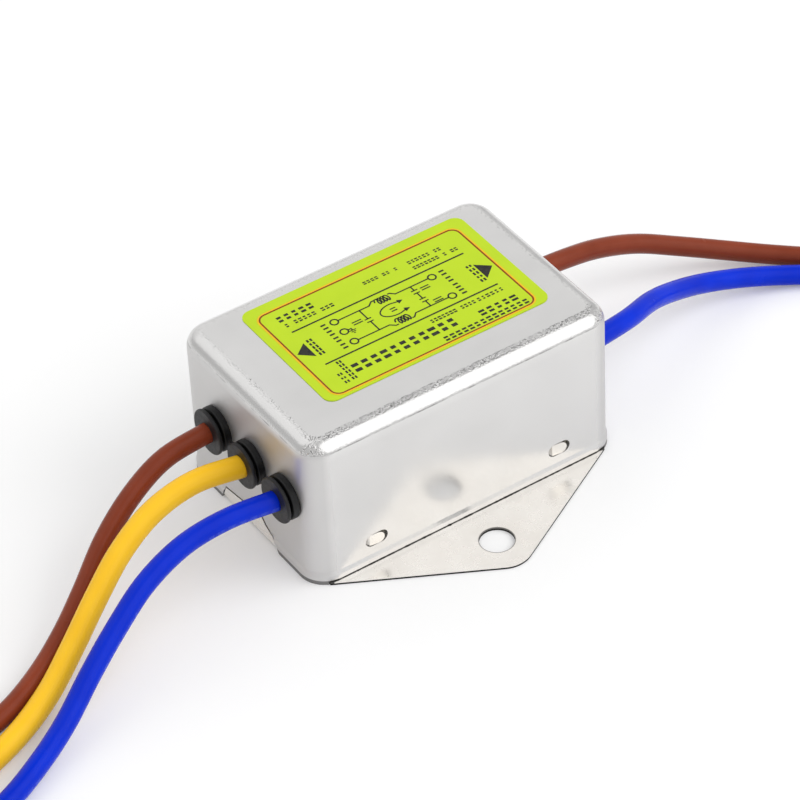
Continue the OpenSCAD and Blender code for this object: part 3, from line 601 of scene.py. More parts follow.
def nickel_on_drawn_steel():
    # Bright nickel: a clear but not perfect mirror, which breaks into sparkle on the bends.
    finish, tree, where = new_finish("bright_nickel_on_drawn_steel")
    outward = add(tree, "ShaderNodeNewGeometry").outputs["Normal"]
    facing = add(tree, "ShaderNodeVectorMath", {0: outward}, operation="ABSOLUTE")
    sides = add(tree, "ShaderNodeSeparateXYZ", {"Vector": facing}).outputs
    height = add(tree, "ShaderNodeSeparateXYZ", {"Vector": where}).outputs["Z"]
    bend, stretched, low_bend_line = drawn_zones(tree, sides, height)
    ends = add(tree, "ShaderNodeMapRange", {
        "Value": sides["X"], "From Min": 0.08, "From Max": 0.4,
    })
    # The grain is strong along one long edge and weaker elsewhere, as if the sheet was
    # pulled hardest there.
    pulled = add(tree, "ShaderNodeMapRange", {
        "Value": add(tree, "ShaderNodeSeparateXYZ", {"Vector": outward}).outputs["Y"],
        "From Min": -0.15, "From Max": 0.0, "To Min": 1.0, "To Max": 0.3,
    })
    patchy = stretched
    for factor in (cloud(tree, where, 5.0, 0.4, 1.0), pulled):
        patchy = add(tree, "ShaderNodeMath", {0: patchy, 1: factor}, operation="MULTIPLY")
    # Orange peel on the bend: full where the metal stretched, and a tenth of it elsewhere.
    peel = cloud(tree, where, PEEL, 0, 1, detail=1.0)
    pits = add(tree, "ShaderNodeMapRange", {
        "Value": peel, "From Min": 0.6, "From Max": 0.82, "To Min": 0.0, "To Max": 0.7,
    })
    strength = add(tree, "ShaderNodeMapRange", {"Value": patchy, "To Min": 0.1, "To Max": 1.0})
    for factor in (strength, bend):
        peel = add(tree, "ShaderNodeMath", {0: peel, 1: factor}, operation="MULTIPLY")
    relief = add(tree, "ShaderNodeBump", {
        "Height": peel, "Distance": mm(PEEL_DEPTH),
        "Normal": grain(tree, where, 8.0, 0.02, detail=0.0),
    })
    # Darker places: the pits, the thin line low on the bend, the end walls, painted darker
    # as a painted shade, and the rim, painted dark as a painted contact shadow.
    dark = add(tree, "ShaderNodeMapRange", {
        "Value": height, "From Min": mm(RIM_SHADE_STARTS), "From Max": mm(RIM_SHADE_FULL),
        "To Min": 0.0, "To Max": 0.75,
    })
    for zone, amount in (
        (pits, patchy), (low_bend_line, cloud(tree, where, 1.5, -0.3, 0.8)), (ends, END_WALL_SHADE),
    ):
        part = add(tree, "ShaderNodeMath", {0: zone, 1: amount}, operation="MULTIPLY")
        dark = add(tree, "ShaderNodeMath", {0: dark, 1: part}, operation="MAXIMUM")
    colour = add(tree, "ShaderNodeMix", {
        "Factor": dark, "A": mottle(tree, where, 9.0, "#dedddc", "#d9d8d7", detail=4),
        "B": linear("#4c4b4b"),
    }, data_type="RGBA")
    # Gloss: each step blends the roughness of one zone into what came before.
    gloss = POLISHED
    flat_gloss = cloud(tree, where, 3.0, 0.2, 0.25)
    flat_gloss = add(tree, "ShaderNodeMix", {
        "Factor": ends, "A": flat_gloss, "B": DULL,
    }, data_type="FLOAT")
    for zone, rough in ((ends, RUBBED), (patchy, SPARKLING)):
        gloss = add(tree, "ShaderNodeMix", {
            "Factor": zone, "A": gloss, "B": rough,
        }, data_type="FLOAT")
    gloss = add(tree, "ShaderNodeMix", {
        "Factor": bend, "A": flat_gloss, "B": gloss,
    }, data_type="FLOAT")
    shader = add(tree, "ShaderNodeBsdfPrincipled", {
        "Base Color": colour, "Normal": relief, "Roughness": gloss, **METAL,
    })
    add(tree, "ShaderNodeOutputMaterial", {"Surface": shader})
    return finish


dress(nickel_on_drawn_steel(), "case_shell")

# %% [markdown]
# ## The base plate
#
# The plate is punched from rolled sheet and plated with the can's nickel. It never
# stretched, so it has no orange peel, only very faint lines from the rolls, and it is a
# little paler than the can. The lower part of its edges is painted dark, a painted shade
# for side faces that lie in shadow. A thin dark ring runs round each hole, and the seam
# where the can sits on the plate is painted dark, a painted shade between the two parts.
#
# The rolls' lines are a noise that is stretched along the sheet by a Mapping node. The
# darker places are found by where they lie, because all of them have a plain place: a
# height, a distance from a hole, or a distance from the middle line.


# %% Nickel on rolled sheet
# Up to this height the plate's edges are painted dark, a painted shade.
EDGE_SHADE_HEIGHT = 0.28
HOLE_OFF, HOLE_RADIUS, HOLE_RING_WIDTH = 23.3, 2.5, 0.16
# The seam along the rim is painted dark, a painted shade between the can and the plate.
SEAM_SHADE_NEAR, SEAM_SHADE_FAR = 16.94, 17.14  # its ragged outer edge, from the middle line
PLATE_TOP, TAB_OUTSIDE = 0.6, 16.5  # the seam is only seen below and beyond these


def nickel_on_rolled_sheet():
    # Nickel over rolled steel: a paler, softer mirror, with edges painted dark as painted shade.
    finish, tree, where = new_finish("nickel_on_rolled_sheet")
    place = add(tree, "ShaderNodeSeparateXYZ", {"Vector": where}).outputs
    facing = add(tree, "ShaderNodeSeparateXYZ", {
        "Vector": add(tree, "ShaderNodeNewGeometry").outputs["Normal"],
    }).outputs
    # The edges' painted shade: low down, and not facing up.
    low = add(tree, "ShaderNodeMath", {
        0: place["Z"], 1: mm(EDGE_SHADE_HEIGHT),
    }, operation="LESS_THAN")
    upright = add(tree, "ShaderNodeMath", {0: facing["Z"], 1: 0.5}, operation="LESS_THAN")
    edge_shade = add(tree, "ShaderNodeMath", {0: low, 1: upright}, operation="MULTIPLY")
    # A thin dark ring round each hole.
    off = add(tree, "ShaderNodeMath", {0: place["Y"]}, operation="ABSOLUTE")
    across = add(tree, "ShaderNodeMath", {0: off, 1: mm(HOLE_OFF)}, operation="SUBTRACT")
    from_hole = add(tree, "ShaderNodeVectorMath", {
        0: add(tree, "ShaderNodeCombineXYZ", {"X": place["X"], "Y": across}),
    }, operation="LENGTH")
    hole_ring = add(tree, "ShaderNodeMapRange", {
        "Value": from_hole.outputs["Value"], "From Min": mm(HOLE_RADIUS),
        "From Max": mm(HOLE_RADIUS + HOLE_RING_WIDTH), "To Min": 0.8, "To Max": 0.0,
    })
    # The seam along the can's rim, painted dark as a painted shade, with a ragged edge.
    ragged = cloud(tree, where, 0.7, mm(SEAM_SHADE_NEAR), mm(SEAM_SHADE_FAR), detail=3)
    beyond = add(tree, "ShaderNodeMath", {0: ragged, 1: off}, operation="SUBTRACT")
    seam_shade = add(tree, "ShaderNodeMapRange", {
        "Value": beyond, "From Min": mm(-0.08), "From Max": mm(0.04),
        "To Min": 0.0, "To Max": 0.9,
    })
    for limit in (
        add(tree, "ShaderNodeMath", {0: place["Z"], 1: mm(PLATE_TOP)}, operation="LESS_THAN"),
        add(tree, "ShaderNodeMath", {0: off, 1: mm(TAB_OUTSIDE)}, operation="GREATER_THAN"),
    ):
        seam_shade = add(tree, "ShaderNodeMath", {0: seam_shade, 1: limit}, operation="MULTIPLY")
    dark = edge_shade
    for part in (hole_ring, seam_shade):
        dark = add(tree, "ShaderNodeMath", {0: dark, 1: part}, operation="MAXIMUM")
    colour = add(tree, "ShaderNodeMix", {
        "Factor": dark, "A": mottle(tree, where, 6.0, "#f4f1ec", "#ede9e3", detail=4),
        "B": linear("#2a2928"),
    }, data_type="RGBA")
    rolled = add(tree, "ShaderNodeMapping", {"Vector": where, "Scale": (0.05, 1.0, 1.0)})
    wave = grain(tree, where, 6.0, 0.02, detail=0.0)
    gloss = add(tree, "ShaderNodeMix", {
        "Factor": dark, "A": cloud(tree, where, 2.0, 0.24, 0.32), "B": 0.6,
    }, data_type="FLOAT")
    shader = add(tree, "ShaderNodeBsdfPrincipled", {
        "Base Color": colour, "Normal": grain(tree, rolled, 0.25, 0.0008, 3, Normal=wave),
        "Roughness": gloss, **METAL,
    })
    add(tree, "ShaderNodeOutputMaterial", {"Surface": shader})
    return finish


dress(nickel_on_rolled_sheet(), "base_plate")

# %% [markdown]
# ## Bushings
#
# The snap bushings are moulded from black nylon. A spark-eroded mould gives nylon a fine
# matt grain, so it shows a broad soft highlight and never a sharp one. The front flange
# stands free and catches the light, while the groove and collar behind it stay in shade.
# Two materials could paint that difference, but the bushing is one solid, so one material
# paints the front grey, a painted highlight, and the groove and collar near black, a
# painted shade, by the distance from the can's middle.


# %% Black nylon
MOULD_GLOSS = (0.8, 0.42, 0.54)  # patches of that many millimetres, and their roughness
FLANGE_BACK, FLANGE_LIT = 26.7, 26.8  # distances from the can's middle


def black_nylon():
    # Black nylon: a painted highlight makes the front flange grey, painted shade keeps the rest
    # black.
    finish, tree, where = new_finish("black_nylon")
    out = add(tree, "ShaderNodeMath", {
        0: add(tree, "ShaderNodeSeparateXYZ", {"Vector": where}).outputs["X"],
    }, operation="ABSOLUTE")
    # The front flange is painted grey as a painted highlight, the rest stays near black as painted
    # shade.
    painted_lit_front = add(tree, "ShaderNodeMapRange", {
        "Value": out, "From Min": mm(FLANGE_BACK), "From Max": mm(FLANGE_LIT),
    })
    colour = add(tree, "ShaderNodeMix", {
        "Factor": painted_lit_front, "A": linear("#0b0b0c"),
        "B": mottle(tree, where, 1.0, "#222224", "#161618"),
    }, data_type="RGBA")
    shader = add(tree, "ShaderNodeBsdfPrincipled", {
        "Base Color": colour, "Normal": grain(tree, where, 0.15, 0.012),
        "Roughness": cloud(tree, where, *MOULD_GLOSS),
        "IOR": PLASTIC_IOR, "Specular IOR Level": 0.3,
    })
    add(tree, "ShaderNodeOutputMaterial", {"Surface": shader})
    return finish


dress(black_nylon(), *[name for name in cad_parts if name.startswith("bush_")])

# %% [markdown]
# ## The label
#
# The label is yellow-green polyester film with a satin face, die cut with round corners and
# glued to the top of the can. The film is thin, so it shows the faint waves of its glue.
# The waves could be modelled, but at a few hundredths of a millimetre a relief of bumps
# bends the light just as well, with the film's own fine grain on top.


# %% Label film
def polyester_film():
    # Printed polyester film: a bright flat colour under a thin satin sheen.
    finish, tree, where = new_finish("polyester_film")
    wave = grain(tree, where, 3.0, 0.012)
    shader = add(tree, "ShaderNodeBsdfPrincipled", {
        "Base Color": mottle(tree, where, 5.0, "#c0dc1e", "#bad71b"),
        "Normal": grain(tree, where, 0.12, 0.003, Normal=wave),
        "Roughness": cloud(tree, where, 1.5, 0.36, 0.44),
        "IOR": 1.57, "Specular IOR Level": 0.2,
    })
    add(tree, "ShaderNodeOutputMaterial", {"Surface": shader})
    return finish


dress(polyester_film(), "label")

# %% [markdown]
# ## The print on the label
#
# Such a label is screen printed with the filter's circuit, arrows for its two ends, a
# border, and rows of small text. The circuit is common to all filters of this kind: a
# current-compensated choke with two coils, one capacitor across the lines, and two to
# earth. The text is left as plain bars, a pair for each letter, because the part is generic.
#
# Print could be drawn in the film's material, but thin lines are sharper as geometry, and
# ink is a skin of a few hundredths of a millimetre in any case. A line is a ribbon of quads
# with mitred corners round a list of points, a filled shape is one face, and both are
# lifted off the film by an extrusion, so that each is a closed thin solid.

# %% Helpers for ink
LABEL_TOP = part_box("label")[1].z
INK, SUNK = 0.02, 0.005  # the ink's height over the film, and its foot in it
SHARPEST_MITRE = 0.4


def screen_ink(name, hex_code):
    # Screen ink: flat and dry, and a little thinner in patches, where the film shows.
    return plain_finish(
        name, hex_code, "#8a8a62", 0.5, (0.1, 0.003), (0.6, 0.4, 0.5),
        {"Specular IOR Level": 0.15}, most=0.12,
    )


def ribbon(points, width, closed=False):
    """Quads of that width along the points, mitred where they turn."""
    points = [Vector(p) for p in points]
    count = len(points)
    rails = []
    for i, here in enumerate(points):
        before = points[i - 1] if i or closed else None
        after = points[(i + 1) % count] if i < count - 1 or closed else None
        arms = [(b - a).normalized() for a, b in ((before, here), (here, after)) if a and b]
        normals = [Vector((-arm.y, arm.x)) for arm in arms]
        across = sum(normals, Vector((0, 0))).normalized()
        across *= width / 2 / max(SHARPEST_MITRE, across.dot(normals[0]))
        rails.append((here + across, here - across))
    last = count if closed else count - 1
    pairs = [(rails[i], rails[(i + 1) % count]) for i in range(last)]
    return [[a[1], b[1], b[0], a[0]] for a, b in pairs]


def arc(x, y, rx, ry, first, last, steps):
    turns = [math.radians(first + (last - first) * i / steps) for i in range(steps + 1)]
    return [(x + rx * math.cos(t), y + ry * math.sin(t)) for t in turns]


def print_ink(name, shapes, finish):
    """One closed thin solid for each flat shape, just above the film."""
    corners, faces = [], []
    for shape in shapes:
        first, count = len(corners), len(shape)
        for height in (LABEL_TOP - mm(SUNK), LABEL_TOP + mm(INK)):
            corners += [(mm(p[0]), mm(p[1]), height) for p in shape]
        faces.append([first + count + i for i in range(count)])
        faces.append([first + count - 1 - i for i in range(count)])
        for i in range(count):
            j = (i + 1) % count
            faces.append([first + i, first + j, first + count + j, first + count + i])
    mesh = bpy.data.meshes.new(name)
    mesh.from_pydata(corners, [], faces)
    mesh.materials.append(finish)
    piece = bpy.data.objects.new(name, mesh)
    bpy.context.scene.collection.objects.link(piece)
    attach(piece, "root")
    print(name, "has", len(faces), "faces")


print("the film's face is at", round(LABEL_TOP * 1000, 2), "mm")


# %% Border
BORDER = (-15.45, -8.78, 17.7, 11.28)  # its left, lower, right and upper line
STEP_OUT = 0.24  # the orange line runs that far outside the red one
RED_LINE, ORANGE_LINE = 0.24, 0.26  # widths
RED_CORNER, ORANGE_CORNER = 1.3, 1.55  # radii


def round_box(x0, y0, x1, y1, radius):
    corners = [(x1 - radius, y1 - radius, 0), (x0 + radius, y1 - radius, 90),
               (x0 + radius, y0 + radius, 180), (x1 - radius, y0 + radius, 270)]
    return [p for x, y, a in corners for p in arc(x, y, radius, radius, a, a + 90, 6)]


outside = [side + way * STEP_OUT for side, way in zip(BORDER, (-1, -1, 1, 1))]
orange_line = ribbon(round_box(*outside, ORANGE_CORNER), ORANGE_LINE, True)
red_line = ribbon(round_box(*BORDER, RED_CORNER), RED_LINE, True)
print_ink("print_orange", orange_line, screen_ink("orange_ink", "#f2c01e"))
print_ink("print_red", red_line, screen_ink("red_ink", "#8e3410"))

# %% [markdown]
# The circuit is drawn from the left, where the mains comes in. Both lines pass through a
# coil of the choke. The loops of a coil follow a trochoid: a point that runs round a small
# ellipse while the ellipse itself moves on. Arcs end to end would need more care to meet.


# %% Shapes of a coil and a capacitor
LOOPS, LOOP_STEPS = 4, 16
LOOP_REACH = 0.6  # half a loop's width, in steps from one loop to the next
PLATE_GAP, PLATE_HALF, PLATE_LINE = 0.66, 0.52, 0.2


def coil(x0, x1, y, height):
    steps = LOOPS * LOOP_STEPS
    reach = (x1 - x0) / (LOOPS + 2 * LOOP_REACH) * LOOP_REACH
    path = []
    for i in range(steps + 1):
        turn = 2 * math.pi * LOOPS * i / steps
        middle = x0 + reach + (x1 - x0 - 2 * reach) * i / steps
        path.append((middle - reach * math.cos(turn), y + height * math.sin(turn)))
    return path


def capacitor(x, y):
    plates = []
    for level in (y + PLATE_GAP / 2, y - PLATE_GAP / 2):
        plates += ribbon([(x - PLATE_HALF, level), (x + PLATE_HALF, level)], PLATE_LINE)
    return plates


print("a coil has", len(coil(0, 1, 0, 1)), "points")

# %% Wires, coils and capacitors
TOP_WIRE, LOW_WIRE = 4.2, -0.85
STEP_ASIDE, COIL_HALF = 0.6, 0.62  # a wire steps aside for its coil, that high each way
BOLD, RING_LINE, COIL_LINE, LINE, FINE = 0.26, 0.23, 0.22, 0.21, 0.15  # widths
X_LEG, Y_LEG = -3.1, 5.4  # where the legs with the capacitors cross from wire to wire
TERMINAL = 0.58  # its radius
TERMINALS = ((-7.2, 4.2), (-7.2, 1.7), (-7.2, -0.8), (9.0, 4.15), (9.0, -0.85))
circuit = []
for y in (5.86, -2.5):
    circuit += ribbon([(-13.05, y), (15.5, y)], BOLD)
for x, y in TERMINALS:
    circuit += ribbon(arc(x, y, TERMINAL, TERMINAL, 0, 360, 20)[:-1], RING_LINE, True)
for wire, side in ((TOP_WIRE, 1), (LOW_WIRE, -1)):
    rise = wire + STEP_ASIDE * side
    circuit += ribbon([(-6.62, wire), (-1.45, wire), (-0.75, rise), (-0.3, rise)], LINE)
    circuit += ribbon([(1.95, rise), (2.3, rise), (2.9, wire), (8.42, wire)], LINE)
    circuit += ribbon(coil(-0.45, 2.05, wire + 0.05 * side, COIL_HALF), COIL_LINE)
for x, upper, lower in (
    (X_LEG, TOP_WIRE, 2.03), (X_LEG, 1.37, LOW_WIRE),
    (Y_LEG, TOP_WIRE, 3.23), (Y_LEG, 2.57, 1.13), (Y_LEG, 0.47, LOW_WIRE),
):
    circuit += ribbon([(x, upper), (x, lower)], LINE)
circuit += capacitor(X_LEG, 1.7) + capacitor(Y_LEG, 2.9) + capacitor(Y_LEG, 0.8)
print("the circuit has", len(circuit), "quads")

# %% Earth, arrows and marks
# Earth: three bars that get shorter, on a short lead from the middle terminal.
EARTH = -6.1  # where its lead turns down
circuit += ribbon([(-6.62, 1.7), (EARTH, 1.7), (EARTH, 1.35)], LINE)
for bar, half in ((1.3, 0.55), (1.0, 0.36), (0.7, 0.16)):
    circuit += ribbon([(EARTH - half, bar), (EARTH + half, bar)], FINE)
# The two currents of the choke turn the same way, which a round arrow shows.
turn_arrow = [(2.3, 2.6)] + arc(0.9, 1.6, 2.1, 1.25, 68, 292, 22)[1:-1] + [(2.2, 0.62)]
circuit += ribbon(turn_arrow, PLATE_LINE)
circuit += [[(2.2, 3.0), (2.2, 2.15), (3.0, 2.6)], [(2.1, 1.05), (2.1, 0.2), (2.95, 0.65)]]
# Short marks beside the terminals and the symbols, as pairs of bars: place and size.
MARKS = [(-8.85, y, 0.8, 1.1) for y in (4.15, 2.55, 0.9, -0.8)]
MARKS += [(10.75, y, 0.8, 1.1) for y in (4.1, 2.4, 0.6, -0.9)]
MARKS += [(-4.65, 2.3, 1.5, 0.7), (7.0, 2.9, 1.4, 0.7), (7.0, -0.3, 1.4, 0.7)]
MARKS += [(0.85, 1.6, 0.9, 0.75)]
MARK_RISE, MARK_BAR = 0.35, 0.28  # in heights of a mark
for x, y, wide, high in MARKS:
    for bar in (y - high * MARK_RISE, y + high * MARK_RISE):
        circuit += ribbon([(x - wide / 2, bar), (x + wide / 2, bar)], high * MARK_BAR)
# Arrowheads at the two ends of the label: mains in, load out.
circuit += [
    [(-15.0, 1.45), (-13.05, -0.3), (-13.05, 3.0)], [(17.15, 1.2), (15.1, 2.95), (15.1, -0.6)],
]
black_ink = screen_ink("black_ink", "#232326")
print_ink("print_circuit", circuit, black_ink)

# %% [markdown]
# ## Rows of small text
#
# A row of text is a repeated shape, so Geometry Nodes lay it: points every letter width
# along the row, a few left out at random as spaces, and a pair of thin bars on each that
# is left, one above the other. From a distance that has the grey tone of small print, and
# solid blocks would look heavier. The seed is fixed, so each run gives the same rows.


# %% The tree for a row of bars
BAR_HIGH, BAR_RISE = 0.36, 0.32  # in heights of a letter
NARROW, WIDE = 0.5, 0.82  # widths of a pair of bars, in widths of a letter


def row_tree():
    tree, given = new_tree(
        "text_row", Height="Float", Width="Float", Ink="Float", Spaces="Float", Seed="Int",
        Finish="Material",
    )
    path = add(tree, "GeometryNodeMeshToCurve", {"Mesh": given["Path"]})
    spots = add(tree, "GeometryNodeCurveToPoints", {
        "Curve": path, "Length": given["Width"],
    }, mode="LENGTH")
    blank = add(tree, "FunctionNodeRandomValue", {
        "Probability": given["Spaces"], "Seed": given["Seed"],
    }, data_type="BOOLEAN")
    letters = add(tree, "GeometryNodeDeleteGeometry", {
        "Geometry": spots.outputs["Points"], "Selection": blank,
    })
    least = add(tree, "ShaderNodeMath", {0: given["Width"], 1: NARROW}, operation="MULTIPLY")
    most = add(tree, "ShaderNodeMath", {0: given["Width"], 1: WIDE}, operation="MULTIPLY")
    wide = add(tree, "FunctionNodeRandomValue", {
        "Min": least, "Max": most, "Seed": given["Seed"],
    }, data_type="FLOAT")
    bar = add(tree, "GeometryNodeMeshCube", {"Size": (1.0, BAR_HIGH, 1.0)}).outputs["Mesh"]
    pair = add(tree, "GeometryNodeJoinGeometry")
    for rise in (-BAR_RISE, BAR_RISE):
        placed = add(tree, "GeometryNodeTransform", {
            "Geometry": bar, "Translation": (0.0, rise, 0.0),
        })
        tree.links.new(placed.outputs[0], pair.inputs[0])
    size = add(tree, "ShaderNodeCombineXYZ", {
        "X": wide, "Y": given["Height"], "Z": given["Ink"],
    })
    along_row = add(tree, "FunctionNodeAlignRotationToVector", {
        "Vector": spots.outputs["Tangent"],
    }, axis="X", pivot_axis="Z")
    pairs = add(tree, "GeometryNodeInstanceOnPoints", {
        "Points": letters, "Instance": pair, "Scale": size, "Rotation": along_row,
    })
    end_tree(tree, pairs, given["Finish"])
    return tree


row_of_text = row_tree()
print("row tree:", len(row_of_text.nodes), "nodes")

# %% Rows of text
# Each row: where it starts and ends, the height of its letters, their pitch, how many are
# left out, and a seed.
ROWS = [
    ((-12.9, 9.15), (-8.0, 9.15), 1.2, 1.15, 0.0, 1),
    ((-12.8, 7.5), (-5.45, 7.5), 0.72, 0.68, 0.12, 2),
    ((0.8, 8.7), (5.95, 8.7), 0.6, 0.6, 0.2, 3),
    ((8.25, 8.7), (13.25, 8.7), 0.66, 0.62, 0.15, 4),
    ((8.25, 7.3), (15.2, 7.3), 0.66, 0.62, 0.12, 5),
    ((-9.95, -5.55), (5.75, -5.55), 1.75, 1.45, 0.08, 6),
    ((10.3, -6.3), (15.5, -6.3), 1.15, 1.25, 0.0, 7),
    ((3.7, -3.7), (10.6, -3.7), 0.7, 0.62, 0.1, 8),
    ((11.5, -3.7), (15.2, -3.7), 0.7, 0.62, 0.1, 9),
    ((3.25, -7.9), (16.4, -7.9), 0.95, 0.95, 0.05, 10),
    ((-12.1, 3.0), (-12.1, -0.2), 0.85, 0.8, 0.0, 11),
    ((14.4, -0.6), (14.4, 3.0), 0.85, 0.8, 0.0, 12),
    ((-12.6, -5.4), (-12.6, -7.2), 0.7, 0.7, 0.0, 13),
    ((-11.35, -3.2), (-11.35, -7.1), 0.75, 0.7, 0.0, 14),
]
INK_MIDDLE = LABEL_TOP + mm(INK / 2)
for number, (start, end, height, pitch, spaces, seed) in enumerate(ROWS, 1):
    row = grow(
        f"print_row_{number}", row_of_text,
        [Vector((mm(x), mm(y), INK_MIDDLE)) for x, y in (start, end)],
        Height=mm(height), Width=mm(pitch), Ink=mm(INK), Spaces=spaces, Seed=seed,
        Finish=black_ink,
    )
    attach(row, "root")
print(len(ROWS), "rows of bars")

# %% [markdown]
# ## Parts inside the can
#
# The can is sealed, so these show only when it is taken apart, but each still gets the
# finish of what it is. A board of paper laminate in a moulded tray carries a choke, a box
# capacitor, a bleed resistor and two disc capacitors.
#
# Every part could have its own tree, but most of them are one of three kinds: moulded in a
# grained mould, dipped in a coat that flows, or metal. One recipe for each kind, with
# the part's own colours and gloss, keeps them apart and still alike where they should be.


# %% Kinds of surface inside
def moulded(name, light, dark, size=0.12, gloss=MOULD_GLOSS):
    """Injection-moulded plastic: two close shades, and the fine grain of the mould."""
    return plain_finish(name, light, dark, 1.6, (size, 0.006), gloss, {"IOR": PLASTIC_IOR})


def coated(name, light, dark, rough):
    """A dipped or sprayed coat: it flows, so it is glossy and gently uneven."""
    gloss = (2.0, rough, rough + 0.08)
    return plain_finish(name, light, dark, 1.2, (1.2, 0.02), gloss, {"IOR": 1.55})


def metal(name, light, dark, rough, size=0.8, depth=0.01):
    """Metal: what marks its colour marks its relief and its gloss as well."""
    gloss = (size, rough, rough + 0.12)
    return plain_finish(name, light, dark, size, (size, depth), gloss, METAL)


def paper_laminate():
    # Paper laminate: a warm brown sheet, with the paper's fibres dull and faint in it.
    finish, tree, where = new_finish("paper_laminate")
    fibres = add(tree, "ShaderNodeMapping", {"Vector": where, "Scale": (0.12, 1.0, 1.0)})
    shader = add(tree, "ShaderNodeBsdfPrincipled", {
        "Base Color": mottle(tree, fibres, 0.3, "#c4955c", "#ae8049", detail=4),
        "Roughness": cloud(tree, where, 1.5, 0.5, 0.62),
    })
    add(tree, "ShaderNodeOutputMaterial", {"Surface": shader})
    return finish


dress(paper_laminate(), "board")

# %% Finishes inside
# Glass-filled polyester: a chalky, off-white moulding.
dress(moulded("moulded_polyester", "#efede2", "#e4e1d4"), "tray")
# Phenolic: almost black, with the broad sheen of a compression mould.
dress(moulded("black_phenolic", "#2b2a29", "#201f1f"), "choke_base")
# Epoxy powder over ferrite: a thick green coat, glossy and slightly wavy.
dress(coated("epoxy_on_ferrite", "#5f9a72", "#528a64", 0.2), "choke_core")
# Enamelled copper: the metal's own colour under clear varnish, so warm and bright.
enamelled = metal("enamelled_copper", "#c2683a", "#b35a2e", 0.18, depth=0.004)
dress(enamelled, "winding_live", "winding_neutral")
# Natural nylon: milky and soft-edged.
dress(moulded("natural_nylon", "#f1eee4", "#e8e3d6"), "choke_divider")
# The capacitor's moulded box: plain yellow plastic with a smooth mould face.
capacitor_box = moulded("capacitor_box_plastic", "#e4d05f", "#dcc653", gloss=(0.8, 0.3, 0.4))
dress(capacitor_box, "x_capacitor")
# Resistor lacquer: a dipped beige coat, smooth and a little glossy.
dress(coated("resistor_lacquer", "#d9c39c", "#cdb489", 0.25), "bleed_resistor")
# Blue epoxy: dipped discs, glossy, with the coat thicker at the rim.
blue_epoxy = coated("blue_epoxy", "#3f7dc0", "#356fb0", 0.22)
dress(blue_epoxy, "y_capacitor_live", "y_capacitor_neutral")
# Tinned strip: a soft silver, duller than the plated can.
dress(metal("tinned_strip", "#e4e4e2", "#d6d6d3", 0.28), "earth_strap")
# Solder: bright and smooth, because it froze from a liquid.
dress(metal("bright_solder", "#dcdcde", "#cbcbce", 0.16, size=0.5), "solder")
# Vulcanised fibre: a dry cream sheet with a leathery grain.
dress(moulded("vulcanised_fibre", "#efe9cf", "#e5ddbe", size=0.3), "top_sheet")
# The leads' inner tails keep the insulation of their leads.
for name in ROUTES:
    dress(pvc[COLOURS[name.split("_")[1]]], "tail_" + name)

# %% [markdown]
# ## Floor and light
#
# The bench is a plain white sheet. Its colour is what the lamps make of it, plus a little
# light of its own that only the camera and the metal's reflections see, so that it reads
# as white and still takes the soft shadow. More lamps would whiten it too, but they would
# burn out the pale parts of the filter.
#
# Metal shows its surroundings, so the room matters more than the lamps. It could be built
# from panels and walls, but a world that glows in a few soft areas gives the same picture
# in the metal, at no cost. The world is an even pale grey with a white band along the
# horizon. In it stand a bright softbox high on the near side, a lit wall behind the part
# and another to the left, and a darker gap between the softbox and the rear wall, which
# draws the dark line along the top's edge. The lamp that casts the shadow stands on the
# softbox's side, so shade and gloss agree.


# %% Floor
FLOOR_HALF = 3.0  # metres
FLOOR_LEVEL = -0.02  # mm: just under the part, so that they don't share a face
FLOOR_GLOW = 0.2


def make_floor():
    # Matt white card: no gloss at all, so the soft shadow is all that shows on it.
    finish, tree, _ = new_finish("white_sheet")
    sheet = add(tree, "ShaderNodeBsdfDiffuse", {"Color": linear("#e6e6e6")})
    seen = add(tree, "ShaderNodeLightPath").outputs
    watched = seen["Is Camera Ray"]
    for ray in ("Is Glossy Ray", "Is Transmission Ray"):
        watched = add(tree, "ShaderNodeMath", {0: watched, 1: seen[ray]}, operation="MAXIMUM")
    lift = add(tree, "ShaderNodeMath", {0: watched, 1: FLOOR_GLOW}, operation="MULTIPLY")
    glow = add(tree, "ShaderNodeEmission", {"Color": linear("#ffffff"), "Strength": lift})
    both = add(tree, "ShaderNodeAddShader", {0: sheet, 1: glow})
    add(tree, "ShaderNodeOutputMaterial", {"Surface": both})
    corners = [(x * FLOOR_HALF, y * FLOOR_HALF, 0) for x, y in ((-1, -1), (1, -1), (1, 1), (-1, 1))]
    mesh = bpy.data.meshes.new("floor")
    mesh.from_pydata(corners, [], [(0, 1, 2, 3)])
    mesh.materials.append(finish)
    floor = bpy.data.objects.new("floor", mesh)
    floor.location.z = mm(FLOOR_LEVEL)
    bpy.context.scene.collection.objects.link(floor)
    return floor


floor = make_floor()
print("floor at", floor.location.z)


# %% World
ROOM = 0.84
# The band along the horizon: the sines of the heights at which it ends, and both levels.
HORIZON = {"From Min": 0.06, "From Max": 0.16, "To Min": 1.0, "To Max": ROOM}
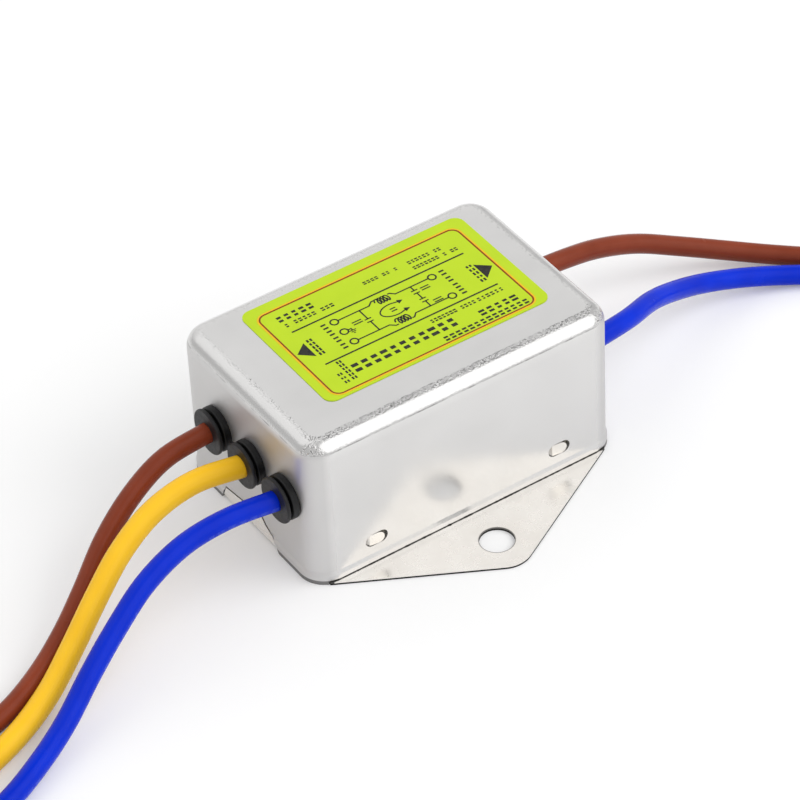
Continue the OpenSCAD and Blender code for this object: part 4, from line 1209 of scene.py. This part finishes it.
# Each panel: the way to its middle, the angles from there at which it begins and is full,
# and its level.
PANELS = {
    "rear wall": ((0.1, 0.69, 0.71), 46, 30, 1.2),
    "left wall": ((-0.3, 0.5, 0.81), 32, 16, 1.45),
    "softbox": ((0.4, -0.6, 0.69), 40, 28, 1.85),
    "gap": ((0.37, 0.33, 0.87), 17, 9, 0.22),
}
print("panels:", ", ".join(PANELS))


def make_world():
    world = bpy.data.worlds.new("studio")
    world.use_nodes = True
    tree = world.node_tree
    tree.nodes.clear()
    way = add(tree, "ShaderNodeTexCoord").outputs["Generated"]
    height = add(tree, "ShaderNodeSeparateXYZ", {"Vector": way}).outputs["Z"]
    level = add(tree, "ShaderNodeMapRange", {
        "Value": height, **HORIZON,
    }, interpolation_type="SMOOTHSTEP")
    for middle, begins, full, panel_level in PANELS.values():
        toward = add(tree, "ShaderNodeVectorMath", {
            0: way, 1: Vector(middle).normalized(),
        }, operation="DOT_PRODUCT")
        share = add(tree, "ShaderNodeMapRange", {
            "Value": toward.outputs["Value"],
            "From Min": math.cos(math.radians(begins)), "From Max": math.cos(math.radians(full)),
        }, interpolation_type="SMOOTHSTEP")
        level = add(tree, "ShaderNodeMix", {
            "Factor": share, "A": level, "B": panel_level,
        }, data_type="FLOAT")
    light = add(tree, "ShaderNodeBackground", {"Strength": level})
    add(tree, "ShaderNodeOutputWorld", {"Surface": light})
    bpy.context.scene.world = world
    return world


print("world:", make_world().name)


# %% Key lamp
KEY_WAY = Vector((0.62, -0.45, 0.64)).normalized()
KEY_DISTANCE, KEY_SIZE, KEY_POWER = 0.9, 0.5, 1.9  # metres, metres and watts


def make_key_lamp():
    lamp = bpy.data.lights.new("key", "AREA")
    lamp.shape = "SQUARE"
    lamp.size = KEY_SIZE
    lamp.energy = KEY_POWER
    holder = bpy.data.objects.new("key", lamp)
    holder.location = KEY_WAY * KEY_DISTANCE
    holder.rotation_euler = KEY_WAY.to_track_quat("Z", "Y").to_euler()
    # The world's softbox is what the metal shows, so the lamp itself isn't mirrored.
    holder.visible_glossy = False
    bpy.context.scene.collection.objects.link(holder)
    return holder


key = make_key_lamp()
print("key lamp at", [round(v, 3) for v in key.location])

# %% [markdown]
# ## View settings

# %% View settings
bpy.context.scene.view_settings.view_transform = "Standard"
